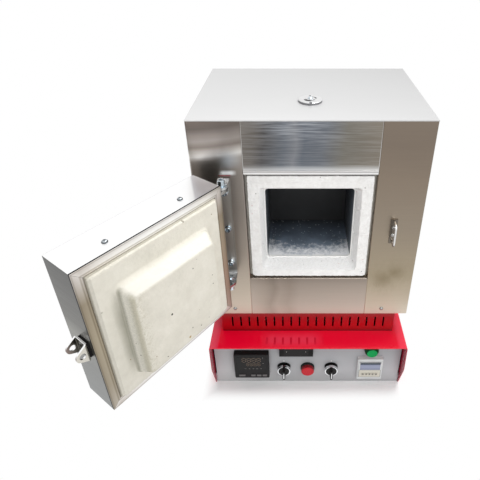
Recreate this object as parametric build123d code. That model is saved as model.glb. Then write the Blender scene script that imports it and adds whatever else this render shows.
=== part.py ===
"""Bench muffle furnace: insulated steel casing on a slotted plinth and control base, with a swing door.

Millimetres. X runs to the right, Y to the back and Z up. The origin lies on the standing face, on
the centre plane, straight below the front face of the casing. The door is drawn shut and then
turned about its hinge axis to the open position in which the furnace is stored.
"""
from build123d import *
import os

os.makedirs("parts", exist_ok=True)

# ---- driving dimensions -------------------------------------------------------------------------
# casing
body_width = 395.0
body_depth = 280.0
body_height = 415.0
casing_sheet = 1.2
top_sheet = 1.5
sheet_bend = 1.5
seam_x = 111.0              # half the width between the two front seams
reveal_depth = 12.0         # inward fold of the sheet round the door opening
rear_return = 22.0
panel_gap = 0.3             # between neighbouring sheet panels
filling_gap = 0.5           # between insulation and the sheet round it
stiffener_depth = 15.0
screw_radius = 2.0
screw_head = (4.0, 2.3)     # radius, height
front_screw_x = 145.4
front_screw_rise = 13.5     # above the casing's lower edge
rear_screw_rise = 17.0
rear_screw_drop = 20.0
rear_slots = 9
rear_slot_pitch = 20.0
rear_slot_drop = 45.0

# door opening and ceramic throat
opening_bottom = 276.5
opening_top = 503.5
drip_height = 6.9
drip_reach = 2.5
drip_sheet = 1.0
collar_gap = 3.5
collar_proud = 1.0
collar_depth = 30.0
collar_corner = 8.0
throat_half = 86.5
throat_bottom = 297.5
throat_top = 476.0

# muffle
chamber_half = 79.0
chamber_floor = 306.0
chamber_ceiling = 458.0
chamber_depth = 120.0
chamber_corner = 6.0
muffle_wall = 15.0
winding_turns = 8
winding_link_rise = 20.0    # of the links between turns, above the muffle's lower face
winding_pitch = 13.5
ribbon_width = 5.0
ribbon_thickness = 1.6
groove_depth = 1.0
board_clearance = 0.8
board_joint = 0.2
rear_board = 60.0
thermocouple_radius = 3.5
thermocouple_x = 30.0
thermocouple_below_ceiling = 18.0
thermocouple_reach = 12.0
thermocouple_collar = (9.0, 3.0)      # radius, length
thermocouple_head = (12.0, 21.0)
heater_poles = 3
heater_terminals = (20.0, 22.0, 18.0)       # pitch, depth, height
heater_terminals_at = (-40.0, 330.0)
supply_poles = 5
supply_terminals = (12.0, 20.0, 16.0)
supply_terminals_x = -60.0
supply_terminals_inset = 55.0         # from the casing's rear face

# vent
vent_y = 85.0
vent_disc_radius = 20.4
vent_disc_thickness = 2.0
vent_tube_radius = 14.0
vent_tube_wall = 1.5
vent_hub_radius = 8.0
vent_pivot_radius = 2.5
vent_rivet_radius = 4.5
vent_rivet_height = 2.4
kidney_inner = 8.8
kidney_outer = 12.0
kidney_angle = 70.0
damper_rest_angle = 55.0    # from fully open

# base
base_height = 132.0
plinth_height = 51.5
base_width = 394.6
hood_reach = 43.4
cheek_nose = 45.3
cheek_nose_height = 68.0
cheek_foot = 23.0
cheek_bend = 60.0
base_sheet = 1.5
plinth_half = 174.0
plinth_setback = 1.4
plinth_slots = 19
slot_width = 3.3
slot_height = 27.0
slot_pitch = 17.03
panel_setback = 22.0        # face of the control panel in front of the casing's face
panel_half = 193.0
panel_bottom = 8.0
panel_flange = 12.0
tray_height = 25.0
tray_sheet = 1.2
air_margin = 24.0           # ledge left inside the plinth round the cover's air opening
foot_slots = 6
foot_slot_pitch = 30.0
foot_slot_width = 5.0
foot_slot_start = 0.0
foot_slot_y = (45.0, 105.0)
base_vent_centre = (60.0, 85.0)
base_vent_slots = 9
base_screw_inset = 12.0
base_screw_z = 16.0
gland_at = (-140.0, 48.0)
gland_bore = 5.0
gland_thread = 9.8
gland_tail = 12.0           # threaded end inside the base
gland_flange = (13.0, 6.0)
gland_body = (11.5, 14.0)
gland_dome = (9.0, 19.0)
sink_x = 90.0
sink_inset = 95.0           # from the casing's rear face
sink_size = (80.0, 70.0)
sink_height = 28.0
sink_base = 5.0
sink_fins = 9
fin_thickness = 2.0
relay_size = (45.0, 58.0, 22.0)
relay_corner = 3.0
relay_well = (5.0, 48.0, 14.0)        # radius, pitch, depth of the terminal wells

# door
door_width = 243.6
door_height = 252.4
door_thickness = 60.9
door_sheet = 1.2
door_seam = 0.9
door_frame_lip = 2.1
door_frame_width = 14.0
door_frame_skirt = 24.0
slab_proud = 7.5            # raised ceramic face above the frame
slab_half_width = 104.6
slab_half_height = 111.1
slab_step = 4.0
slab_gap = 0.5              # left between the slab and the collar when shut
slab_back = 12.0
plug_base = (160.0, 168.0)
plug_end = (141.0, 147.0)
plug_height = 24.5
plug_centre_base = 386.0
plug_centre_end = 383.5
plug_corner = 9.0
plug_edge = 4.0
door_open_angle = 126.0

# hinge
pivot_x = -143.5
pivot_y = -30.0
strap_width = 19.2
strap_sheet = 4.0
strap_top = 499.4
strap_bottom = 290.5
strap_bend = 3.0
strap_screw_heights = (321.0, 397.0, 472.0)
strap_screw = (5.0, 6.0, 3.0)         # head radius, head height, shank radius
strap_washer = (6.0, 1.2)
ear_gap = 0.5
door_ear_radius = 11.0
pivot_bolt_radius = 4.0
pivot_bolt_head = (6.0, 10.0)
pivot_bolt_washer = (8.0, 1.2)
pivot_nut = (7.0, 6.5)      # radius over the corners, height
pivot_bolt_end = 2.0        # beyond the nut
pivot_running_clearance = 0.05
hole_clearance = 0.1
bracket_screw_z = (318.0, 395.0, 472.0)
bracket_screw_head = (3.6, 2.0)
door_screw_x = 61.4
door_screw_inset = 22.0
door_screw_head = (4.4, 2.6)

# latch
clevis_width = 25.8
clevis_height = 29.0
clevis_sheet = 2.5
clevis_inset = 8.9          # nearer ear from the door frame's face
clevis_height_centre = 383.0
clevis_spacer = 2.5
clevis_hole_out = 12.0
clevis_hole_radius = 4.4
clevis_ear_radius = 8.6
staple_x = 148.0
staple_bottom = 364.0
staple_top = 412.0
staple_reach = 20.0
staple_bar_radius = 2.0
staple_plate = 2.0
staple_plate_width = 12.0
staple_screw_spread = 8.0
staple_screw_head = (3.5, 1.8)
latch_bolt_radius = 3.0
latch_bolt_head = (5.0, 1.6)          # low, to leave the clevis's holes free
latch_bolt_washer = (6.0, 0.6)

# instruments on the control panel
controller_x = -116.2
controller_z = 65.0
controller_size = 72.0
controller_proud = 12.6
controller_body = 67.5
controller_body_depth = 70.0
controller_window = (60.0, 38.0)
controller_window_rise = 11.0
controller_keys = [(-21.0, 13.0), (2.5, 9.0), (14.5, 9.0), (26.5, 9.0)]    # offset, width
controller_key_height = 4.5
controller_key_rise = 9.5
key_travel = 0.8
key_clearance = 0.3
key_depth = 3.0
key_proud = 1.2
window_depth = 1.4
window_proud = 0.2
window_clearance = 0.1
meter_x = -24.0
meter_width = 69.5
meter_drop = 5.0            # below the cover's top
meter_height = 37.0
meter_window = (46.0, 27.0)
meter_proud = 8.0
meter_neck = 5.0            # step in from the bezel to the body
meter_body_depth = 45.0
meter_ribs = 8
meter_rib_pitch = 3.6
meter_rib_gap = 1.2
meter_rib_depth = 0.9
meter_rib_length = 8.0
meter_rib_inset = 5.0
selector_x = 49.6
selector_z = 48.0
selector_bezel_radius = 15.0
selector_proud = 11.0
selector_disc_radius = 11.0
selector_bar = (27.0, 6.5, 8.5)        # length, width, height of the grip
selector_bar_drop = 2.0     # the grip hangs over the lower rim of its disc
selector_shaft_radius = 5.0
device_barrel_radius = 11.0
device_barrel_depth = 20.0
lamp_bezel_radius = 14.6
lamp_proud = 12.6
red_lamp_z = 48.5
red_lens_radius = 13.4
green_lamp_x = 130.5
green_lamp_drop = 27.0      # below the cover's top
green_lens_radius = 14.0
green_face_radius = 11.5
timer_x = 130.5
timer_lamp_gap = 8.4          # from the timer's frame up to the green lamp's bezel
timer_size = 48.0
timer_proud = 9.5
timer_frame_size = (52.0, 62.0)
timer_frame_proud = 8.0
timer_body = 44.5
timer_body_depth = 60.0
timer_keys = 5
timer_key_pitch = 6.9
timer_key_size = (4.4, 6.0)
timer_key_drop = 13.0
timer_window = (42.0, 20.0)
timer_window_rise = 10.5

# ---- dependent sizes ----------------------------------------------------------------------------
body_half = body_width / 2
body_bottom = base_height + plinth_height
body_top = body_bottom + body_height
body_inner = body_half - casing_sheet
inner_half = body_inner - sheet_bend      # clear of the inside of the casing's corner bends
panel_top = body_top - top_sheet
collar_half = seam_x - collar_gap
collar_bottom = opening_bottom + collar_gap + 1.0
collar_top = opening_top - collar_gap + 1.0
muffle_half = chamber_half + muffle_wall
muffle_bottom = chamber_floor - muffle_wall
muffle_top = chamber_ceiling + muffle_wall
muffle_back = collar_depth + chamber_depth + muffle_wall
board_back = muffle_back + board_clearance + rear_board
panel_face = -panel_setback
meter_top = base_height - meter_drop
green_lamp_z = base_height - green_lamp_drop
timer_z = green_lamp_z - lamp_bezel_radius - timer_lamp_gap - timer_frame_size[1] / 2
opening_centre = (opening_bottom + opening_top) / 2
slab_face = -collar_proud - slab_gap
rim_face = slab_face - slab_proud
door_outer = rim_face - door_thickness
door_half = door_width / 2
door_bottom = opening_centre - door_height / 2
door_top = opening_centre + door_height / 2
strap_x = (pivot_x - strap_width / 2, pivot_x + strap_width / 2)


# ---- shapes that recur --------------------------------------------------------------------------
def block(x, y, z):
    """Box between (low, high) pairs."""
    size = (x[1] - x[0], y[1] - y[0], z[1] - z[0])
    return Pos((x[0] + x[1]) / 2, (y[0] + y[1]) / 2, (z[0] + z[1]) / 2) * Box(*size)


def across(half):
    """Span from -half to +half."""
    return (-half, half)


def rod(along, radius, at, span):
    """Round bar along X, Y or Z; at holds its two other coordinates."""
    bar = Cylinder(radius, span[1] - span[0])
    middle = (span[0] + span[1]) / 2
    if along == "X":
        return Pos(middle, *at) * Rot(0, 90, 0) * bar
    if along == "Y":
        return Pos(at[0], middle, at[1]) * Rot(90, 0, 0) * bar
    return Pos(*at, middle) * bar


def run_x(face, x):
    """Extrude a face drawn in Y, Z along X."""
    return Pos(x[0], 0, 0) * extrude(Plane.YZ * face, x[1] - x[0], dir=(1, 0, 0))


def run_y(face, y):
    """Extrude a face drawn in X, Z along Y."""
    return Pos(0, y[0], 0) * extrude(Plane.XZ * face, y[1] - y[0], dir=(0, 1, 0))


def run_z(face, z):
    """Extrude a face drawn in X, Y along Z."""
    return Pos(0, 0, z[0]) * extrude(face, z[1] - z[0], dir=(0, 0, 1))


def folded(path, thickness, bend=0.0):
    """Section of a sheet folded along path, with its material on the path's left."""
    points = [Vector(*point) for point in path]
    runs = [(end - start).normalized() for start, end in zip(points, points[1:])]
    sides = [Vector(-run.Y, run.X) for run in runs]
    befores = [sides[0]] + sides
    afters = sides + [sides[-1]]
    inner = []
    for point, before, after in zip(points, befores, afters):
        inner.append(point + (before + after) * (thickness / (1 + before.dot(after))))
    if not bend:
        return make_face(Polyline(*points, *reversed(inner), close=True))
    turns = [a.cross(b).Z > 0 for a, b in zip(runs, runs[1:])]
    path_radii = [bend + thickness if left else bend for left in turns]
    inner_radii = [bend if left else bend + thickness for left in turns]
    outline = FilletPolyline(*points, radius=path_radii).edges()
    outline += FilletPolyline(*inner, radius=inner_radii).edges()
    outline += [Line(points[0], inner[0]).edge(), Line(points[-1], inner[-1]).edge()]
    return make_face(outline)


def mirrored(shape):
    """The same piece on the other side of the centre plane."""
    return mirror(shape, about=Plane.YZ)


def domed_head(radius, height):
    """Pan head drawn standing on Z = 0, pointing up."""
    rise = ThreePointArc((0, height), (radius * 0.72, height * 0.78), (radius, 0))
    sides = [Line((0, 0), (0, height)).edge(), Line((0, 0), (radius, 0)).edge()]
    section = make_face([rise.edge(), *sides])
    return revolve(Plane.XZ * section, Axis.Z)


def pan_screw(head_radius, head_height, shank_radius, shank_length):
    """Pan-head screw whose head stands on Z = 0 and whose shank points down."""
    return domed_head(head_radius, head_height) + rod("Z", shank_radius, (0, 0), (-shank_length, 0.01))


def cap_screw(head_radius, head_height, shank_radius, shank_length, washer_radius, washer):
    """Socket-head cap screw on a washer, seated on Z = 0 and pointing down."""
    head = rod("Z", head_radius, (0, 0), (washer, washer + head_height))
    head = chamfer(head.edges().group_by(Axis.Z)[-1], 0.6)
    socket = extrude(RegularPolygon(head_radius * 0.5, 6), -head_height / 2)
    socket = Pos(0, 0, washer + head_height) * socket
    ring = rod("Z", washer_radius, (0, 0), (0, washer))
    return head - socket + ring + rod("Z", shank_radius, (0, 0), (-shank_length, washer))


def slots(width, height, xs, z, y):
    """Upright slots with round ends, at centres xs, cut through the span y."""
    shape = SlotOverall(height, width, rotation=90)
    return [run_y(Pos(x, z) * shape, y) for x in xs]


def spread(count, pitch):
    """Evenly spaced places about zero."""
    return [(i - (count - 1) / 2) * pitch for i in range(count)]


def shut_to_rest(shape):
    """Turn a piece of the shut door to its open resting place."""
    return Pos(pivot_x, pivot_y, 0) * Rot(0, 0, -door_open_angle) * Pos(-pivot_x, -pivot_y, 0) * shape


def save(shape, node):
    export_step(shape, f"parts/{node}.step")


# ---- casing -------------------------------------------------------------------------------------
# Places of the screws, for which the sheets are drilled.
screw_hole = screw_radius + hole_clearance
strap_screw_hole = strap_screw[2] + hole_clearance
front_screw_z = body_bottom + front_screw_rise
rear_screw_x = body_half - rear_return / 2
rear_screw_z = (body_bottom + rear_screw_rise, (body_bottom + body_top) / 2, body_top - rear_screw_drop)
staple_middle = (staple_bottom + staple_top) / 2
staple_screw_z = (staple_middle - staple_screw_spread, staple_middle + staple_screw_spread)


def side_panel():
    """Right side, folded round the front column and the rear return."""
    path = [(seam_x, reveal_depth), (seam_x, 0), (body_half, 0), (body_half, body_depth),
            (body_half - rear_return, body_depth)]
    sheet = run_z(folded(path, casing_sheet, sheet_bend), (body_bottom, panel_top))
    sheet -= rod("Y", screw_hole, (front_screw_x, front_screw_z), (-1, casing_sheet + 1))
    for z in rear_screw_z:
        sheet -= rod("Y", screw_hole, (rear_screw_x, z), (body_depth - casing_sheet - 1, body_depth + 1))
    return sheet


right_panel = side_panel()
left_panel = mirrored(right_panel)
for height in strap_screw_heights:
    left_panel -= rod("Y", strap_screw_hole, (pivot_x, height), (-1, casing_sheet + 1))
for height in staple_screw_z:
    right_panel -= rod("Y", screw_hole, (staple_x, height), (-1, casing_sheet + 1))
save(right_panel, "side_panel_right")
save(left_panel, "side_panel_left")

lid = block(across(body_half), (0, body_depth), (panel_top, body_top))
flange_outer = body_inner - panel_gap
for side in (-1, 1):
    flange_x = sorted((side * flange_outer, side * (flange_outer - casing_sheet)))
    flange_y = (reveal_depth, body_depth - 2 * casing_sheet - 1)
    lid += block(flange_x, flange_y, (panel_top - stiffener_depth, panel_top))
lid -= rod("Z", vent_tube_radius + hole_clearance, (0, vent_y), (panel_top - 1, body_top + 1))
save(lid, "top_panel")

rear_y = (body_depth - 2 * casing_sheet, body_depth - casing_sheet)
rear_panel = block(across(inner_half), rear_y, (body_bottom, panel_top - panel_gap))
rear_cut = (rear_y[0] - 1, rear_y[1] + 1)
rear_slot_z = body_top - rear_slot_drop
for cutter in slots(slot_width, slot_height, spread(rear_slots, rear_slot_pitch), rear_slot_z, rear_cut):
    rear_panel -= cutter
for side in (-1, 1):
    for z in rear_screw_z:
        rear_panel -= rod("Y", screw_hole, (side * rear_screw_x, z), rear_cut)
save(rear_panel, "rear_panel")

floor_path = [(-inner_half, body_bottom + stiffener_depth), (-inner_half, body_bottom),
              (inner_half, body_bottom), (inner_half, body_bottom + stiffener_depth)]
floor_y = (reveal_depth + panel_gap, rear_y[0] - panel_gap)
save(run_y(folded(floor_path, casing_sheet), floor_y), "floor_panel")

front_half = seam_x - panel_gap
head_bottom = opening_top + drip_sheet + panel_gap
head_path = [(0, panel_top - panel_gap), (0, head_bottom), (reveal_depth, head_bottom)]
save(run_x(folded(head_path, casing_sheet, sheet_bend), across(front_half)), "front_head_panel")
sill_path = [(reveal_depth, opening_bottom), (0, opening_bottom), (0, body_bottom)]
save(run_x(folded(sill_path, casing_sheet, sheet_bend), across(front_half)), "front_sill_panel")

drip_top = opening_top + drip_height
drip_path = [(-panel_gap, drip_top), (-drip_reach, drip_top), (-drip_reach, opening_top),
             (reveal_depth, opening_top)]
save(run_x(folded(drip_path, drip_sheet), across(front_half)), "drip_strip")

# ---- ceramic throat, muffle, winding and insulation ---------------------------------------------
collar = block(across(collar_half), (-collar_proud, collar_depth), (collar_bottom, collar_top))
long_edges = collar.edges().filter_by(Axis.Y).group_by(Axis.Z)
collar = fillet(long_edges[0], collar_corner)
collar = fillet(collar.edges().filter_by(Axis.Y).group_by(Axis.Z)[-1], collar_corner / 3)


def opening_face(half, low, high, y, corner):
    """Rounded rectangle in the plane Y = y."""
    face = Pos(0, (low + high) / 2) * RectangleRounded(2 * half, high - low, corner)
    return Pos(0, y, 0) * (Plane.XZ * face)


throat = loft([opening_face(throat_half, throat_bottom, throat_top, -collar_proud, chamber_corner),
               opening_face(chamber_half, chamber_floor, chamber_ceiling, collar_depth, chamber_corner)])
save(collar - throat, "front_collar")

muffle = block(across(muffle_half), (collar_depth, muffle_back), (muffle_bottom, muffle_top))
cavity = Pos(0, (chamber_floor + chamber_ceiling) / 2) * RectangleRounded(
    2 * chamber_half, chamber_ceiling - chamber_floor, chamber_corner)
muffle -= run_y(cavity, (collar_depth, collar_depth + chamber_depth))
muffle -= rod("Z", vent_tube_radius + hole_clearance, (0, vent_y), (chamber_ceiling - 1, muffle_top + 1))
thermocouple_at = (thermocouple_x, chamber_ceiling - thermocouple_below_ceiling)
sheath_hole = thermocouple_radius + hole_clearance
muffle -= rod("Y", sheath_hole, thermocouple_at, (muffle_back - muffle_wall - 1, muffle_back + 1))


def winding_band(y, bottom_depth, top_height):
    """Rectangular band round the muffle, from a depth below its faces to a height above them."""
    outer = [(-muffle_half - top_height, muffle_half + top_height), y,
             (muffle_bottom - top_height, muffle_top + top_height)]
    inner = [(-muffle_half + bottom_depth, muffle_half - bottom_depth), (y[0] - 1, y[1] + 1),
             (muffle_bottom + bottom_depth, muffle_top - bottom_depth)]
    return block(*outer) - block(*inner)


ribbon_above = ribbon_thickness - groove_depth
winding_middle = collar_depth + (chamber_depth + muffle_wall) / 2
winding_places = [winding_middle + place for place in spread(winding_turns, winding_pitch)]
vent_edge = vent_tube_radius + 1.5    # half of the gap in the turns where the vent tube passes
winding_link_z = muffle_bottom + winding_link_rise
winding = None
for turn, y in enumerate(winding_places):
    band = (y - ribbon_width / 2, y + ribbon_width / 2)
    muffle -= winding_band(band, groove_depth, 1)
    ribbon = winding_band(band, groove_depth, ribbon_above)
    winding = ribbon if winding is None else winding + ribbon
    if turn + 1 < winding_turns:
        side = 1 if turn % 2 else -1
        step_x = sorted((side * muffle_half, side * (muffle_half + ribbon_above)))
        step_z = (winding_link_z, winding_link_z + ribbon_width)
        winding += block(step_x, (band[0], band[1] + winding_pitch), step_z)
vent_gap_y = (vent_y - vent_edge, vent_y + vent_edge)
vent_gap_z = (muffle_top - groove_depth - 1, muffle_top + ribbon_above + 1)
winding -= block(across(vent_edge), vent_gap_y, vent_gap_z)
save(muffle, "muffle_chamber")
save(winding, "heating_winding")

board_half = inner_half - casing_sheet - filling_gap
board_low = body_bottom + casing_sheet + board_joint
board_high = panel_top - filling_gap
board_front = collar_depth + board_joint
hearth_top = muffle_bottom - board_clearance
roof_bottom = muffle_top + board_clearance
flue = rod("Z", vent_tube_radius + 1, (0, vent_y), (roof_bottom - 1, board_high + 1))
front_board = block(across(board_half), (reveal_depth + 1, collar_depth), (board_low, board_high))
front_board -= block(across(collar_half + board_joint), (0, collar_depth + 1),
                     (collar_bottom - board_joint, collar_top + board_joint))
hearth = block(across(board_half), (board_front, board_back), (board_low, hearth_top))
roof = block(across(board_half), (board_front, board_back), (roof_bottom, board_high)) - flue
wall_x = (muffle_half + board_clearance, board_half)
wall_z = (hearth_top + board_joint, roof_bottom - board_joint)
wall = block(wall_x, (board_front, board_back), wall_z)
rear_slab = block(across(wall_x[0] - board_joint), (muffle_back + board_clearance, board_back), wall_z)
rear_slab -= rod("Y", sheath_hole, thermocouple_at, (muffle_back, board_back + 1))
save(Compound(children=[front_board, hearth, roof, wall, mirrored(wall), rear_slab]), "insulation_boards")

sheath_start = collar_depth + chamber_depth - thermocouple_reach
thermocouple = rod("Y", thermocouple_radius, thermocouple_at, (sheath_start, board_back + 1))
head_start = board_back + thermocouple_collar[1]
head_end = head_start + thermocouple_head[1]
thermocouple += rod("Y", thermocouple_collar[0], thermocouple_at, (board_back, head_start))
thermocouple += rod("Y", thermocouple_head[0], thermocouple_at, (head_start, head_end))
save(thermocouple, "thermocouple")


def terminal_block(poles, pitch, depth, height):
    """Ceramic terminal block: a row of poles with a screw well in each."""
    strip = Box(poles * pitch, depth, height, align=(Align.CENTER, Align.CENTER, Align.MIN))
    for x in spread(poles, pitch):
        strip -= Pos(x, 0, height) * Cylinder(pitch * 0.28, height)
        strip -= Pos(x + pitch / 2, 0, height) * Box(1.6, depth + 1, height)
    return strip


heater_at = (heater_terminals_at[0], board_back, heater_terminals_at[1])
heater_block = Pos(*heater_at) * Rot(-90, 0, 0) * terminal_block(heater_poles, *heater_terminals)
supply_at = (supply_terminals_x, body_depth - supply_terminals_inset, tray_sheet)
supply_block = Pos(*supply_at) * terminal_block(supply_poles, *supply_terminals)
save(Compound(children=[heater_block, supply_block]), "terminal_blocks")

# ---- vent ---------------------------------------------------------------------------------------
flange_top = body_top + vent_disc_thickness
vent_tube = rod("Z", vent_tube_radius, (0, vent_y), (chamber_ceiling, body_top))
vent_tube -= rod("Z", vent_tube_radius - vent_tube_wall, (0, vent_y), (chamber_ceiling - 1, body_top + 1))
save(vent_tube, "vent_tube")


def kidneys(turn):
    """Two curved openings on opposite sides of the vent's centre."""
    middle = (kidney_inner + kidney_outer) / 2
    shape = SlotArc(CenterArc((0, 0), middle, -kidney_angle / 2, kidney_angle), kidney_outer - kidney_inner)
    return [Pos(0, vent_y) * Rot(0, 0, turn + half_turn) * shape for half_turn in (0, 180)]


damper_bottom = flange_top + 0.3
damper_top = damper_bottom + vent_disc_thickness
flange = rod("Z", vent_disc_radius, (0, vent_y), (body_top, flange_top))
for face in kidneys(0):
    flange -= run_z(face, (body_top - 1, flange_top + 1))
flange -= rod("Z", vent_pivot_radius + hole_clearance, (0, vent_y), (body_top - 1, flange_top + 1))
save(flange, "vent_flange")

damper_disc = rod("Z", vent_disc_radius, (0, vent_y), (damper_bottom, damper_top))
damper_disc = chamfer(damper_disc.edges().group_by(Axis.Z)[-1], 0.8)
hub_top = damper_top + 1.0
damper = damper_disc + rod("Z", vent_hub_radius, (0, vent_y), (damper_bottom, hub_top))
rib_y = (vent_y + vent_rivet_radius + 1, vent_y + vent_disc_radius - 1.5)
damper += block(across(1.0), rib_y, (damper_top - 0.5, damper_top + 2.2))
tab_y = (vent_y - vent_disc_radius - 0.6, vent_y - vent_disc_radius + 1.4)
damper += block(across(2.0), tab_y, (damper_bottom + 0.2, damper_top + 2.0))
for face in kidneys(damper_rest_angle):
    damper -= run_z(face, (damper_bottom - 1, damper_top + 3))
damper_bore = vent_pivot_radius + pivot_running_clearance
damper -= rod("Z", damper_bore, (0, vent_y), (damper_bottom - 1, hub_top + 1))
save(damper, "vent_damper")

rivet = rod("Z", vent_pivot_radius, (0, vent_y), (body_top, hub_top + 0.4))
rivet += Pos(0, vent_y, hub_top + 0.3) * domed_head(vent_rivet_radius, vent_rivet_height)
save(rivet, "vent_rivet")

# ---- hinge on the casing ------------------------------------------------------------------------
ear_reach = pivot_y - strap_width / 2 - 1
strap_path = [(ear_reach, strap_bottom), (0, strap_bottom), (0, strap_top), (ear_reach, strap_top)]
strap = run_x(folded(strap_path, strap_sheet, strap_bend), strap_x)
strap_plan = Pos(pivot_x, pivot_y / 2) * Rectangle(strap_width, -pivot_y)
strap_plan += Pos(pivot_x, pivot_y) * Circle(strap_width / 2)
strap &= run_z(strap_plan, (strap_bottom - 1, strap_top + 1))
pivot_at = (pivot_x, pivot_y)
strap -= rod("Z", pivot_bolt_radius + hole_clearance, pivot_at, (strap_bottom - 1, strap_top + 1))
for height in strap_screw_heights:
    strap -= rod("Y", strap_screw_hole, (pivot_x, height), (-strap_sheet - 1, 1))
save(strap, "hinge_strap")

upright_screw = cap_screw(*strap_screw, strap_sheet + casing_sheet, *strap_washer)
strap_screws = [Pos(pivot_x, -strap_sheet, height) * Rot(90, 0, 0) * upright_screw
                for height in strap_screw_heights]
save(Compound(children=strap_screws), "hinge_strap_screws")

door_ear_outer = strap_sheet + ear_gap
grip = door_ear_outer + strap_sheet + ear_gap
shank = grip + pivot_nut[1] + pivot_bolt_end
hinge_bolt = cap_screw(*pivot_bolt_head, pivot_bolt_radius, shank, *pivot_bolt_washer)
hinge_bolt += Pos(0, 0, -grip) * extrude(RegularPolygon(pivot_nut[0], 6), -pivot_nut[1])
upper_bolt = Pos(*pivot_at, strap_top) * hinge_bolt
lower_bolt = Pos(*pivot_at, strap_bottom) * Rot(180, 0, 0) * hinge_bolt
save(Compound(children=[upper_bolt, lower_bolt]), "pivot_bolts")

# ---- latch staple on the casing -----------------------------------------------------------------
bar_y = -staple_reach + staple_bar_radius
leg_z = (staple_bottom + staple_bar_radius, staple_top - staple_bar_radius)
staple_plane = Plane(origin=(staple_x, 0, 0), x_dir=(0, 1, 0), z_dir=(1, 0, 0))
loop = FilletPolyline((-staple_plate / 2, leg_z[0]), (bar_y, leg_z[0]), (bar_y, leg_z[1]),
                      (-staple_plate / 2, leg_z[1]), radius=3 * staple_bar_radius)
loop_path = staple_plane * loop
bar_start = Plane(origin=(staple_x, -staple_plate / 2, leg_z[0]), z_dir=(0, -1, 0))
bar_section = bar_start * Circle(staple_bar_radius)
staple = sweep(bar_section, path=loop_path)
plate_x = (staple_x - staple_plate_width / 2, staple_x + staple_plate_width / 2)
staple += block(plate_x, (-staple_plate, 0), (staple_bottom - 2, staple_top + 2))
for height in staple_screw_z:
    staple -= rod("Y", screw_hole, (staple_x, height), (-staple_plate - 1, 1))
save(staple, "latch_staple")

# ---- base ---------------------------------------------------------------------------------------
base_half = base_width / 2
cover_path = [(base_half, 0), (base_half, base_height), (-base_half, base_height), (-base_half, 0)]
cover = run_y(folded(cover_path, base_sheet, sheet_bend), (-cheek_nose - 1, body_depth))
cheek = make_face(Polyline((-hood_reach, base_height), (-cheek_nose, cheek_nose_height), (-cheek_foot, 0),
                           (body_depth, 0), (body_depth, base_height), close=True))
cheek = fillet(cheek.vertices().sort_by(Axis.X)[0], cheek_bend)
cover &= run_x(cheek, across(base_half))
plinth_y = (plinth_setback, body_depth - plinth_setback)
cover -= block(across(plinth_half - air_margin), (plinth_y[0] + air_margin, plinth_y[1] - air_margin),
               (base_height - base_sheet - 1, base_height + 1))
save(cover, "base_cover")

plinth_z = (base_height, body_bottom)
plinth = block(across(plinth_half), plinth_y, plinth_z)
plinth -= block(across(plinth_half - base_sheet), (plinth_y[0] + base_sheet, plinth_y[1] - base_sheet),
                (plinth_z[0] - 1, plinth_z[1] + 1))
slot_z = (plinth_z[0] + plinth_z[1]) / 2 + 1.2
for wall_y in (plinth_y[0], plinth_y[1] - base_sheet):
    for cutter in slots(slot_width, slot_height, spread(plinth_slots, slot_pitch), slot_z,
                        (wall_y - 1, wall_y + base_sheet + 1)):
        plinth -= cutter
save(plinth, "plinth")

panel_back = panel_face + base_sheet
tray_half = base_half - base_sheet - panel_gap
rear_plate_y = (body_depth - 2 - base_sheet, body_depth - 2)
tray_y = (panel_back, rear_plate_y[0])
tray = block(across(tray_half), tray_y, (0, tray_height))
tray -= block(across(tray_half - tray_sheet), (tray_y[0] + tray_sheet, tray_y[1] - tray_sheet),
              (tray_sheet, tray_height + 1))
for number in range(foot_slots):
    x = foot_slot_start + number * foot_slot_pitch
    tray -= block((x, x + foot_slot_width), foot_slot_y, (-1, tray_sheet + 1))
save(tray, "base_tray")

flange_end = panel_face + panel_flange
panel_path = [(-panel_half, flange_end), (-panel_half, panel_face), (panel_half, panel_face),
              (panel_half, flange_end)]
panel_z = (panel_bottom, base_height - base_sheet - panel_gap)
control_panel = run_z(folded(panel_path, base_sheet), panel_z)
tray_room = tray_height + panel_gap
control_panel -= block(across(tray_half + 1), (panel_back, panel_back + panel_flange), (0, tray_room))
cut_y = (panel_face - 1, panel_back + 1)


def square_cut(x, z, size):
    half = size / 2 + hole_clearance
    return block((x - half, x + half), cut_y, (z - half, z + half))


control_panel -= square_cut(controller_x, controller_z, controller_body)
control_panel -= square_cut(timer_x, timer_z, timer_body)
meter_z = (meter_top - meter_height, meter_top)
control_panel -= block((meter_x - meter_width / 2 + meter_neck, meter_x + meter_width / 2 - meter_neck),
                       cut_y, (meter_z[0] + meter_neck, meter_z[1] - meter_neck))
barrels = [(-selector_x, selector_z), (selector_x, selector_z), (0, red_lamp_z),
           (green_lamp_x, green_lamp_z)]
for at in barrels:
    control_panel -= rod("Y", device_barrel_radius + hole_clearance, at, cut_y)
save(control_panel, "control_panel")

rear_plate = block(across(panel_half), rear_plate_y, (panel_bottom, panel_z[1]))
plate_cut = (rear_plate_y[0] - 1, rear_plate_y[1] + 1)
base_vent_x = [base_vent_centre[0] + place for place in spread(base_vent_slots, slot_pitch)]
for cutter in slots(slot_width, slot_height, base_vent_x, base_vent_centre[1], plate_cut):
    rear_plate -= cutter
rear_plate -= rod("Y", gland_thread + hole_clearance, gland_at, plate_cut)
base_screw_places = [(side * (panel_half - base_screw_inset), base_screw_z) for side in (-1, 1)]
for at in base_screw_places:
    rear_plate -= rod("Y", screw_hole, at, plate_cut)
save(rear_plate, "base_rear_panel")

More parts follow.
